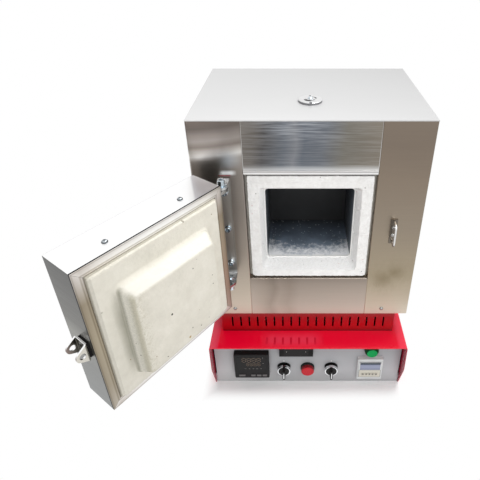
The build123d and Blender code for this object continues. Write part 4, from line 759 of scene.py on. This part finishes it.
def paint_panel(tree, at, facing, tone):
    # painted shade, darkest at the top under the cover's overhang, and painted light towards the left
    lower = add_node(tree, "MapRange", {"Value": at[2], "From Min": 0.008, "From Max": cover_top})
    lower = add_node(tree, "ValToRGB", {0: lower}, ramp=[
        (0.0, "#E6E6E6"), (0.25, "#F2F2F3"), (0.6, "#D9DADC"), (1.0, "#BBBCBF")])
    left = add_node(tree, "MapRange", {"Value": at[0], "From Min": -0.193, "From Max": 0.193})
    left = add_node(tree, "ValToRGB", {0: left}, ramp=[
        (0.0, "#FFFFFF"), (0.15, "#F6F6F6"), (0.4, "#E2E3E4"), (1.0, "#EAEAEC")])
    tone = add_node(tree, "Mix", {0: 1.0, 6: tone, 7: lower}, data_type="RGBA", blend_type="MULTIPLY")
    return add_node(tree, "Mix", {0: 1.0, 6: tone, 7: left}, data_type="RGBA", blend_type="MULTIPLY")


dress(powder_coat("light_grey_powder_coat", ("#D2D2D3", "#DADADB"), 0.45, 0.12, paint_panel), "control_panel",
      "base_rear_panel", "base_tray")


# ---- instruments --------------------------------------------------------------------------------
# Injection-moulded cases and keys. The tools are spark-eroded, which leaves a fine even grain on the
# plastic, and the windows and lamp lenses are moulded clear or tinted and polished.
def moulded_plastic(name, colour, rough=0.5, grain=0.15, paint=None, **extra):
    """Moulded plastic with a spark-eroded grain."""
    finish, tree = new_finish(name)
    place, facing = place_on(tree)
    # the grit is really 0.05 mm across, drawn about 0.5 mm so that it shows
    grit = add_node(tree, "TexNoise", {"Vector": place, "Scale": 2200.0, "Detail": 1.0})
    shade = add_node(tree, "TexNoise", {"Vector": place, "Scale": 30.0, "Detail": 2.0})
    shade = add_node(tree, "MapRange", {
        "Value": shade, "From Min": 0.3, "From Max": 0.7, "To Min": 0.93, "To Max": 1.07})
    tone = add_node(tree, "Mix", {0: 1.0, 6: colour, 7: shade}, data_type="RGBA", blend_type="MULTIPLY")
    if paint:
        at = add_node(tree, "SeparateXYZ", {0: place}).outputs
        tone = paint(tree, at, add_node(tree, "SeparateXYZ", {0: facing}).outputs, tone)
    coat_with(tree, tone, rough, grit, strength=grain, distance=0.0002, **extra)
    return finish


def paint_windows(tree, at, facing, tone):
    # the timer's window holds a blue-grey liquid crystal under a dark strip
    display = add_node(tree, "MapRange", {"Value": at[2], "From Min": 0.0515, "From Max": 0.0715})
    display = add_node(tree, "ValToRGB", {0: display}, ramp=[
        (0.0, "#858BA0"), (0.45, "#9AA0B8"), (0.80, "#8A90A8"), (0.84, "#36404C"), (1.0, "#2E3742")])
    amount = add_node(tree, "Math", {0: at[0], 1: 0.08}, operation="GREATER_THAN")
    return add_node(tree, "Mix", {0: amount, 6: tone, 7: display}, data_type="RGBA")


timer_middle = 0.1305


def paint_timer(tree, at, facing, tone):
    # the key field below the display is a pale insert with a dark outline
    wide = add_node(tree, "Math", {0: at[0], 1: timer_middle}, operation="SUBTRACT")
    wide = add_node(tree, "Math", {0: wide}, operation="ABSOLUTE")
    high = add_node(tree, "Math", {0: at[2], 1: 0.0395}, operation="SUBTRACT")
    high = add_node(tree, "Math", {0: high}, operation="ABSOLUTE")
    wide = add_node(tree, "Math", {0: wide, 1: 0.0222}, operation="SUBTRACT")
    high = add_node(tree, "Math", {0: high, 1: 0.0105}, operation="SUBTRACT")
    rim = add_node(tree, "Math", {0: wide, 1: high}, operation="MAXIMUM")
    amount = add_node(tree, "Math", {0: rim, 1: 0.0}, operation="LESS_THAN")
    tone = add_node(tree, "Mix", {0: amount, 6: tone, 7: "#D3CFC2"}, data_type="RGBA")
    outline = within(tree, rim, 0.0002, 0.0004, 0.0001)
    return add_node(tree, "Mix", {0: outline, 6: tone, 7: "#7E7C77"}, data_type="RGBA")


def paint_timer_keys(tree, at, facing, tone):
    # each key carries a small dark arrow, wide at its foot
    beat = add_node(tree, "Math", {0: at[0], 1: timer_middle}, operation="SUBTRACT")
    beat = add_node(tree, "Math", {0: beat, 1: 0.00345}, operation="PINGPONG")
    taper = add_node(tree, "MapRange", {
        "Value": at[2], "From Min": 0.0410, "From Max": 0.0368, "To Min": 0.0002, "To Max": 0.0016})
    arrow = add_node(tree, "Math", {0: beat, 1: taper}, operation="LESS_THAN")
    tall = within(tree, at[2], 0.0389, 0.0020, 0.0001)
    arrow = add_node(tree, "Math", {0: arrow, 1: tall}, operation="MULTIPLY")
    return add_node(tree, "Mix", {0: arrow, 6: tone, 7: "#3B3A38"}, data_type="RGBA")


def paint_green(tree, at, facing, tone):
    # the lens's flank is painted dark green round its face, as painted shade
    face = add_node(tree, "Math", {0: facing[1], 1: -1.0}, operation="MULTIPLY")
    face = add_node(tree, "MapRange", {"Value": face, "From Min": 0.75, "From Max": 0.95})
    return add_node(tree, "Mix", {0: face, 6: "#014020", 7: tone}, data_type="RGBA")


def paint_red(tree, at, facing, tone):
    # the lens's flank is painted darker red than its face, as painted shade
    face = add_node(tree, "Math", {0: facing[1], 1: -1.0}, operation="MULTIPLY")
    face = add_node(tree, "MapRange", {"Value": face, "From Min": 0.4, "From Max": 0.95})
    # moulded rings, 3.2 mm apart, round the lens's middle
    flat = add_node(tree, "CombineXYZ", {0: at[0], 2: at[2]})
    ring = add_node(tree, "VectorMath", {0: flat, 1: (0.0, 0.0, 0.0485)}, operation="DISTANCE")
    ring = add_node(tree, "Math", {0: ring, 1: 0.0016}, operation="PINGPONG")
    ring = add_node(tree, "MapRange", {
        "Value": ring, "From Min": 0.0004, "From Max": 0.0013, "To Min": 0.0, "To Max": 0.5})
    tone = add_node(tree, "Mix", {0: ring, 6: tone, 7: "#8C0B1A"}, data_type="RGBA")
    return add_node(tree, "Mix", {0: face, 6: "#7E0A16", 7: tone}, data_type="RGBA")


black_case = moulded_plastic("moulded_black_abs", "#100E0E", 0.42, Specular_IOR_Level=0.2)
dress(black_case, "controller_case", "meter_case", "lamp_bezels", "cable_gland", "latch_spacer",
      "solid_state_relay", "selector_left_knob", "selector_right_knob")
dress(moulded_plastic("moulded_grey_abs", "#D0D2D2", 0.5, paint=paint_timer), "timer_case", "timer_frame")
beige_keys = moulded_plastic("moulded_beige_keys", "#BDB9AD", 0.5, paint=paint_timer_keys)
dress(beige_keys, *[f"timer_key_{n}" for n in range(1, 6)])
dress(moulded_plastic("moulded_rubber_keys", "#6E6B6B", 0.7), *[f"controller_key_{n}" for n in range(1, 5)])
dress(moulded_plastic("smoked_acrylic_window", "#0B0808", 0.16, 0.02, paint_windows, Specular_IOR_Level=0.2),
      "instrument_windows")
red_lens = moulded_plastic("red_lamp_acrylic", "#D21226", 0.25, 0.03, paint_red, Specular_IOR_Level=0.25)
dress(red_lens, "red_lamp_lens")
green_lens = moulded_plastic("green_lamp_acrylic", "#00964C", 0.35, 0.03, paint_green, Specular_IOR_Level=0.1)
dress(green_lens, "green_lamp_lens")


bezel_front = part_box("selector_bezels")[0][1]


def paint_bezel(tree, at, facing, slow):
    # the back of the turned flank mirrors the dark underside of the cover above it
    tone = add_node(tree, "MapRange", {"Value": slow, "From Min": 0.3, "From Max": 0.66})
    tone = add_node(tree, "ValToRGB", {0: tone}, ramp=[(0.0, "#D4D5D8"), (1.0, "#F6F7F8")])
    behind = add_node(tree, "MapRange", {"Value": facing[2], "From Min": 0.25, "From Max": 0.5})
    flank = add_node(tree, "MapRange", {
        "Value": at[1], "From Min": bezel_front + 0.0040, "From Max": bezel_front + 0.0046})
    behind = add_node(tree, "Math", {0: behind, 1: flank}, operation="MULTIPLY")
    return add_node(tree, "Mix", {0: behind, 6: tone, 7: "#191919"}, data_type="RGBA")


dress(polished_steel("chromed_bezel", paint_bezel, 0.10), "selector_bezels")
dress(polished_steel("extruded_aluminium", ("#B4B4B6", "#CDCDCF"), 0.35), "relay_heat_sink")


def bar(mesh, width, height, depth, at, edge=0.0001):
    """A small bar with eased edges, its faces along the panel."""
    size = Matrix.Diagonal((width, depth, height, 1.0))
    made = bmesh.ops.create_cube(mesh, size=1.0, matrix=Matrix.Translation(at) @ size)
    edges = list({line for corner in made["verts"] for line in corner.link_edges})
    bmesh.ops.bevel(mesh, geom=edges, offset=edge, segments=2, profile=0.5, material=-1, affect="EDGES")


def stroke(mesh, width, length, at, upright):
    """One stroke of a seven-segment figure: a thin plate pointed at both ends."""
    turn = Matrix.Rotation(radians(90), 4, "X") @ Matrix.Rotation(0.0 if upright else radians(90), 4, "Z")
    size = Matrix.Diagonal((width, length / 2, 1.0, 1.0))
    bmesh.ops.create_cone(mesh, cap_ends=True, segments=6, radius1=1.0, radius2=1.0, depth=0.0001,
                          matrix=Matrix.Translation(at) @ turn @ size)


def figure(mesh, left, low, width, height, face):
    """All seven strokes of a figure, as an unlit display shows them."""
    thick = width * 0.085
    for level in (0.0, 0.5, 1.0):
        stroke(mesh, thick, width * 0.86, (left + width / 2, face, low + height * level), False)
    for side in (0.0, 1.0):
        for level in (0.25, 0.75):
            stroke(mesh, thick, height * 0.44, (left + width * side, face, low + height * level), True)


# the controller's figures and marks are laid on the face of its window
glass = -0.03485
facing_out = Matrix.Rotation(radians(90), 4, "X")
unlit = moulded_plastic("unlit_display_strokes", "#75604E", 0.4, 0.0)
mesh = bmesh.new()
for count in range(4):
    figure(mesh, left=-0.1350 + count * 0.0101, low=0.0797, width=0.0070, height=0.0122, face=glass)
    figure(mesh, left=-0.1268 + count * 0.0077, low=0.0684, width=0.0053, height=0.0080, face=glass)
add_piece("controller_figures", mesh, unlit, "furnace", "dark_window")
mesh = bmesh.new()
for z in (0.0926, 0.0758):
    bmesh.ops.create_cone(mesh, cap_ends=True, segments=20, radius1=0.0009, radius2=0.0007, depth=0.0002,
                          matrix=Matrix.Translation((-0.0924, glass, z)) @ facing_out)
for count in range(5):
    bar(mesh, 0.0034, 0.0008, 0.0001, (-0.1290 + count * 0.0080, glass, 0.0590), 0.00003)
add_piece("controller_pilot_marks", mesh, moulded_plastic("printed_grey_marks", "#8A8583", 0.5, 0.0),
    "furnace", "dark_window")
mesh = bmesh.new()
for x in (-0.0437, -0.0044):
    bmesh.ops.create_cone(mesh, cap_ends=True, segments=20, radius1=0.0009, radius2=0.0005, depth=0.0003,
                          matrix=Matrix.Translation((x, -0.0303, 0.1054)) @ facing_out)
add_piece("meter_zero_stops", mesh, moulded_plastic("pale_stop_pins", "#B8B2AE", 0.4, 0.0), "furnace",
    "dark_window")
mesh = bmesh.new()
bar(mesh, 0.0440, 0.0024, 0.0003, (timer_middle, -0.0316, 0.0734))
add_piece("timer_title_strip", mesh, moulded_plastic("printed_slate_strip", "#3C4853", 0.4, 0.0), "furnace",
          "dark_window")
mesh = bmesh.new()
selector_at = 0.0496
for x in (-selector_at, selector_at):
    # a small white mark above each selector
    bar(mesh, 0.0014, 0.0034, 0.0002, (x, -0.0221, 0.0672), 0.00005)
add_piece("selector_white_marks", mesh, moulded_plastic("plain_white_marks", "#F4F4F4", 0.4, 0.0),
    "furnace", "grey_powder_coat")
ridge = polished_steel("chromed_grip_ridge", ("#DADBDE", "#FFFFFF"), 0.12)
for side, body in ((-1, "selector_left"), (1, "selector_right")):
    mesh = bmesh.new()
    bar(mesh, 0.0019, 0.0165, 0.0005, (side * selector_at, -0.0427, 0.0452), 0.0002)
    add_piece(f"{body}_grip_ridge", mesh, ridge, body, "chrome_bezel")


# ---- door ---------------------------------------------------------------------------------------
# A folded stainless tray with a mitred inner frame round a cast refractory slab, whose plug fits the
# throat. Its patterns are laid as on the shut door and turn with it.
door_foot = 0.2638
door_top = 0.5162


def paint_tray(tree, at, facing, drift):
    # the sides' tones, darker towards the top, and the outer face's taupe tones are painted reflections
    side = add_node(tree, "MapRange", {"Value": at[2], "From Min": door_foot, "From Max": door_top})
    side = add_node(tree, "ValToRGB", {0: side}, ramp=[
        (0.0, "#7F8180"), (0.3, "#7B7C7A"), (0.52, "#8A8983"), (0.62, "#65645F"), (0.8, "#5C5B58"),
        (1.0, "#4A4A47")])
    outer = add_node(tree, "Math", {0: at[2], 1: drift}, operation="ADD")
    outer = add_node(tree, "MapRange", {"Value": outer, "From Min": door_foot, "From Max": door_top})
    outer = add_node(tree, "ValToRGB", {0: outer}, ramp=[
        (0.0, "#C9BFB1"), (0.3, "#AFA598"), (0.7, "#958C82"), (1.0, "#8A8179")])
    amount = add_node(tree, "MapRange", {"Value": facing[1], "From Min": -0.5, "From Max": -0.8})
    side = add_node(tree, "Mix", {0: amount, 6: side, 7: outer}, data_type="RGBA")
    upper = add_node(tree, "MapRange", {"Value": facing[2], "From Min": 0.3, "From Max": 0.7})
    # the top mirrors the open room, and at the hinge a corner of it mirrors the casing instead
    fold = add_node(tree, "Math", {0: at[1], 1: 0.0713}, operation="ADD")
    fold = add_node(tree, "Math", {0: fold, 1: 0.763}, operation="MULTIPLY")
    shade = add_node(tree, "Math", {0: at[0], 1: -0.1184}, operation="SUBTRACT")
    shade = add_node(tree, "Math", {0: shade, 1: fold}, operation="SUBTRACT")
    shade = add_node(tree, "MapRange", {"Value": shade, "From Min": 0.002, "From Max": -0.002})
    top = add_node(tree, "Mix", {0: shade, 6: "#FFFFFF", 7: "#DAD9DD"}, data_type="RGBA")
    amount = add_node(tree, "MapRange", {"Value": at[1], "From Min": -0.0684, "From Max": -0.0688})
    top = add_node(tree, "Mix", {0: amount, 6: top, 7: "#BDBDC2"}, data_type="RGBA")
    return add_node(tree, "Mix", {0: upper, 6: side, 7: top}, data_type="RGBA")


door_middle = 0.390
frame_half_width = 0.1218
frame_half_height = 0.1262


def paint_frame(tree, at, facing, drift):
    # the frame's bands across its width and its tones along each side are painted reflections and highlights
    wide = add_node(tree, "Math", {0: at[0]}, operation="ABSOLUTE")
    high = add_node(tree, "Math", {0: at[2], 1: door_middle}, operation="SUBTRACT")
    high = add_node(tree, "Math", {0: high}, operation="ABSOLUTE")
    inset_x = add_node(tree, "Math", {0: frame_half_width, 1: wide}, operation="SUBTRACT")
    inset_z = add_node(tree, "Math", {0: frame_half_height, 1: high}, operation="SUBTRACT")
    inset = add_node(tree, "Math", {0: inset_x, 1: inset_z}, operation="MINIMUM")
    across = add_node(tree, "MapRange", {"Value": inset, "From Min": 0.0, "From Max": 0.014})
    across = add_node(tree, "ValToRGB", {0: across}, ramp=[
        (0.0, "#E5E3E0"), (0.08, "#C9C6C2"), (0.2, "#F0EEEC"), (0.6, "#FFFFFF"), (0.75, "#D3CFC9"),
        (0.84, "#FFFFFF"), (1.0, "#A8A398")])
    free = add_node(tree, "MapRange", {"Value": at[2], "From Min": door_foot, "From Max": door_top})
    free = add_node(tree, "ValToRGB", {0: free}, ramp=[
        (0.0, "#C4BCAF"), (0.2, "#B1A795"), (0.55, "#B3A893"), (0.8, "#A79C89"), (0.9, "#CCC5BC"),
        (1.0, "#E9E4E0")])
    top = add_node(tree, "MapRange", {
        "Value": at[0], "From Min": -frame_half_width, "From Max": frame_half_width})
    top = add_node(tree, "ValToRGB", {0: top}, ramp=[
        (0.0, "#D3CFC7"), (0.1, "#F4F2EE"), (0.3, "#FFFFFF"), (0.6, "#FFFFFE"), (0.85, "#F6F3EF"),
        (0.95, "#E0DAD4"), (1.0, "#F6F2EE")])
    amount = add_node(tree, "Math", {0: inset_x, 1: inset_z}, operation="LESS_THAN")
    tone = add_node(tree, "Mix", {0: amount, 6: top, 7: free}, data_type="RGBA")
    tone = add_node(tree, "Mix", {0: 1.0, 6: tone, 7: across}, data_type="RGBA", blend_type="MULTIPLY")
    mitre = add_node(tree, "Math", {0: inset_x, 1: inset_z}, operation="SUBTRACT")
    mitre = within(tree, mitre, 0.0, 0.0003, 0.0002)
    amount = add_node(tree, "Math", {0: mitre, 1: 0.6}, operation="MULTIPLY")
    tone = add_node(tree, "Mix", {0: amount, 6: tone, 7: "#5B5751"}, data_type="RGBA")
    # the lip's outer edge and the skirt below it lie in the shadow of the seam
    edge = add_node(tree, "Math", {0: facing[0]}, operation="ABSOLUTE")
    skirt = add_node(tree, "Math", {0: facing[2]}, operation="ABSOLUTE")
    lowered = add_node(tree, "MapRange", {"Value": at[1], "From Min": -0.0094, "From Max": -0.0098})
    skirt = add_node(tree, "Math", {0: skirt, 1: lowered}, operation="MULTIPLY")
    edge = add_node(tree, "Math", {0: edge, 1: skirt}, operation="MAXIMUM")
    edge = add_node(tree, "Math", {0: edge, 1: 0.7}, operation="GREATER_THAN")
    rim = add_node(tree, "Math", {0: inset, 1: 0.0006}, operation="LESS_THAN")
    edge = add_node(tree, "Math", {0: edge, 1: rim}, operation="MULTIPLY")
    shade = add_node(tree, "MapRange", {"Value": at[1], "From Min": -0.0105, "From Max": -0.0114})
    shade = add_node(tree, "Math", {0: shade, 1: edge}, operation="MAXIMUM")
    return add_node(tree, "Mix", {0: shade, 6: tone, 7: "#0B0A12"}, data_type="RGBA")


def paint_slab(tree, at, facing, tone):
    # the groove's side by the frame is painted dark as painted shade, and upward faces above the step pale as
    # painted light
    groove_shade = add_node(tree, "MapRange", {"Value": at[1], "From Min": -0.0053, "From Max": -0.0064})
    amount = add_node(tree, "Math", {0: groove_shade, 1: 0.55}, operation="MULTIPLY")
    tone = add_node(tree, "Mix", {0: amount, 6: tone, 7: "#8D8878"}, data_type="RGBA")
    crown_light = add_node(tree, "MapRange", {"Value": facing[2], "From Min": 0.4, "From Max": 0.95})
    step = add_node(tree, "MapRange", {"Value": at[1], "From Min": 0.000, "From Max": 0.006})
    crown_light = add_node(tree, "Math", {0: crown_light, 1: step}, operation="MULTIPLY")
    amount = add_node(tree, "Math", {0: crown_light, 1: 0.55}, operation="MULTIPLY")
    tone = add_node(tree, "Mix", {0: amount, 6: tone, 7: "#F5F3ED"}, data_type="RGBA")
    # its corner by the hinge is rounded over, so the light leaves it sooner
    past = add_node(tree, "Math", {0: at[0], 1: 0.0655}, operation="ADD")
    past = add_node(tree, "Math", {0: past, 1: 0.0}, operation="MINIMUM")
    flat = add_node(tree, "CombineXYZ", {0: past, 1: at[1]})
    round_off = add_node(tree, "VectorMath", {0: flat, 1: (0.0, 0.0125, 0.0)}, operation="DISTANCE")
    round_off = add_node(tree, "MapRange", {"Value": round_off, "From Min": 0.0105, "From Max": 0.0135})
    beyond = add_node(tree, "Math", {0: past, 1: -0.0001}, operation="LESS_THAN")
    round_off = add_node(tree, "Math", {0: round_off, 1: beyond}, operation="MULTIPLY")
    upward = add_node(tree, "MapRange", {"Value": facing[2], "From Min": 0.4, "From Max": 0.7})
    round_off = add_node(tree, "Math", {0: round_off, 1: upward}, operation="MULTIPLY")
    clear = add_node(tree, "MapRange", {"Value": at[1], "From Min": 0.0002, "From Max": 0.0012})
    round_off = add_node(tree, "Math", {0: round_off, 1: clear}, operation="MULTIPLY")
    amount = add_node(tree, "Math", {0: round_off, 1: 0.9}, operation="MULTIPLY")
    tone = add_node(tree, "Mix", {0: amount, 6: tone, 7: "#CAC6B9"}, data_type="RGBA")
    free_flank = add_node(tree, "MapRange", {"Value": facing[0], "From Min": 0.25, "From Max": 0.8})
    raised = add_node(tree, "MapRange", {"Value": at[1], "From Min": -0.001, "From Max": 0.003})
    free_flank = add_node(tree, "Math", {0: free_flank, 1: raised}, operation="MULTIPLY")
    place = add_node(tree, "CombineXYZ", {0: at[0], 1: at[1], 2: at[2]})
    # its free flank is dished: painted shade at the foot, painted light halfway up, and sandy at the rubbed
    # edge
    sand = add_node(tree, "TexNoise", {"Vector": place, "Scale": 420.0, "Detail": 4.0, "Roughness": 0.8})
    flank = add_node(tree, "MapRange", {"Value": at[1], "From Min": -0.001, "From Max": 0.0235})
    flank = add_node(tree, "ValToRGB", {0: flank}, ramp=[
        (0.0, "#8F8D7E"), (0.16, "#A19F91"), (0.34, "#D9D6CB"), (0.55, "#D2CFC3"), (0.74, "#BEBAA8"),
        (1.0, "#C6C1AF")])
    shade = add_node(tree, "MapRange", {
        "Value": sand, "From Min": 0.3, "From Max": 0.7, "To Min": 0.82, "To Max": 1.16})
    flank = add_node(tree, "Mix", {0: 1.0, 6: flank, 7: shade}, data_type="RGBA", blend_type="MULTIPLY")
    amount = add_node(tree, "Math", {0: free_flank, 1: 0.92}, operation="MULTIPLY")
    tone = add_node(tree, "Mix", {0: amount, 6: tone, 7: flank}, data_type="RGBA")
    grit = add_node(tree, "MapRange", {"Value": at[0], "From Min": 0.048, "From Max": 0.0715})
    edge = add_node(tree, "MapRange", {"Value": at[1], "From Min": 0.020, "From Max": 0.022})
    grit = add_node(tree, "Math", {0: grit, 1: edge}, operation="MULTIPLY")
    grains = add_node(tree, "MapRange", {"Value": sand, "From Min": 0.48, "From Max": 0.62})
    grit = add_node(tree, "Math", {0: grit, 1: grains}, operation="MULTIPLY")
    amount = add_node(tree, "Math", {0: grit, 1: 0.55}, operation="MULTIPLY")
    tone = add_node(tree, "Mix", {0: amount, 6: tone, 7: "#A39C80"}, data_type="RGBA")
    # a painted shadow on the slab beside the plug's free flank
    foot = add_node(tree, "MapRange", {"Value": at[0], "From Min": 0.0905, "From Max": 0.0795})
    tall = within(tree, at[2], 0.384, 0.060, 0.022)
    foot = add_node(tree, "Math", {0: foot, 1: tall}, operation="MULTIPLY")
    low = add_node(tree, "MapRange", {"Value": at[1], "From Min": 0.002, "From Max": 0.000})
    foot = add_node(tree, "Math", {0: foot, 1: low}, operation="MULTIPLY")
    side = add_node(tree, "Math", {0: at[0], 1: 0.070}, operation="GREATER_THAN")
    foot = add_node(tree, "Math", {0: foot, 1: side}, operation="MULTIPLY")
    amount = add_node(tree, "Math", {0: foot, 1: 0.75}, operation="MULTIPLY")
    tone = add_node(tree, "Mix", {0: amount, 6: tone, 7: "#949283"}, data_type="RGBA")
    # one deep air hole and one scorched grain on the plug's face, and two chips at the slab's edge
    flat = add_node(tree, "CombineXYZ", {0: at[0], 2: at[2]})
    ragged = add_node(tree, "TexNoise", {"Vector": place, "Scale": 500.0, "Detail": 2.0})
    ragged = add_node(tree, "MapRange", {
        "Value": ragged, "From Min": 0.3, "From Max": 0.7, "To Min": -0.0006, "To Max": 0.0006})
    for x, z, size, code in ((0.0218, 0.3876, 0.0016, "#2B241C"), (-0.0018, 0.3199, 0.0022, "#B09A6E"),
                             (-0.0397, 0.5005, 0.0013, "#A19D90"), (0.1020, 0.4442, 0.0014, "#B8B4A6")):
        reach = add_node(tree, "VectorMath", {0: flat, 1: (x, 0.0, z)}, operation="DISTANCE")
        reach = add_node(tree, "Math", {0: reach, 1: ragged}, operation="ADD")
        flaw = add_node(tree, "MapRange", {
            "Value": reach, "From Min": size * 1.2, "From Max": size * 0.7})
        tone = add_node(tree, "Mix", {0: flaw, 6: tone, 7: code}, data_type="RGBA")
    return tone


dress(brushed_stainless("brushed_stainless_door", paint_tray, streaks=0.02, shut=True), "door_tray")
mitred = brushed_stainless("brushed_stainless_door_frame", paint_frame, streaks=0.03, rough=0.45, shut=True)
dress(mitred, "door_frame")
refractory = chalky_fibre("cast_refractory", ("#D3CFC3", "#DBD7CB", "#E2DED3"), "#4F493F", "#9A8A6C",
                          paint_slab, shut=True, pits=0.90, mottle=30.0)
dress(refractory, "door_plug")
crumbled("cast_refractory_slab", "door_plug", refractory, "door", "castable_ceramic",
         grid=0.0015, depth=0.0010)
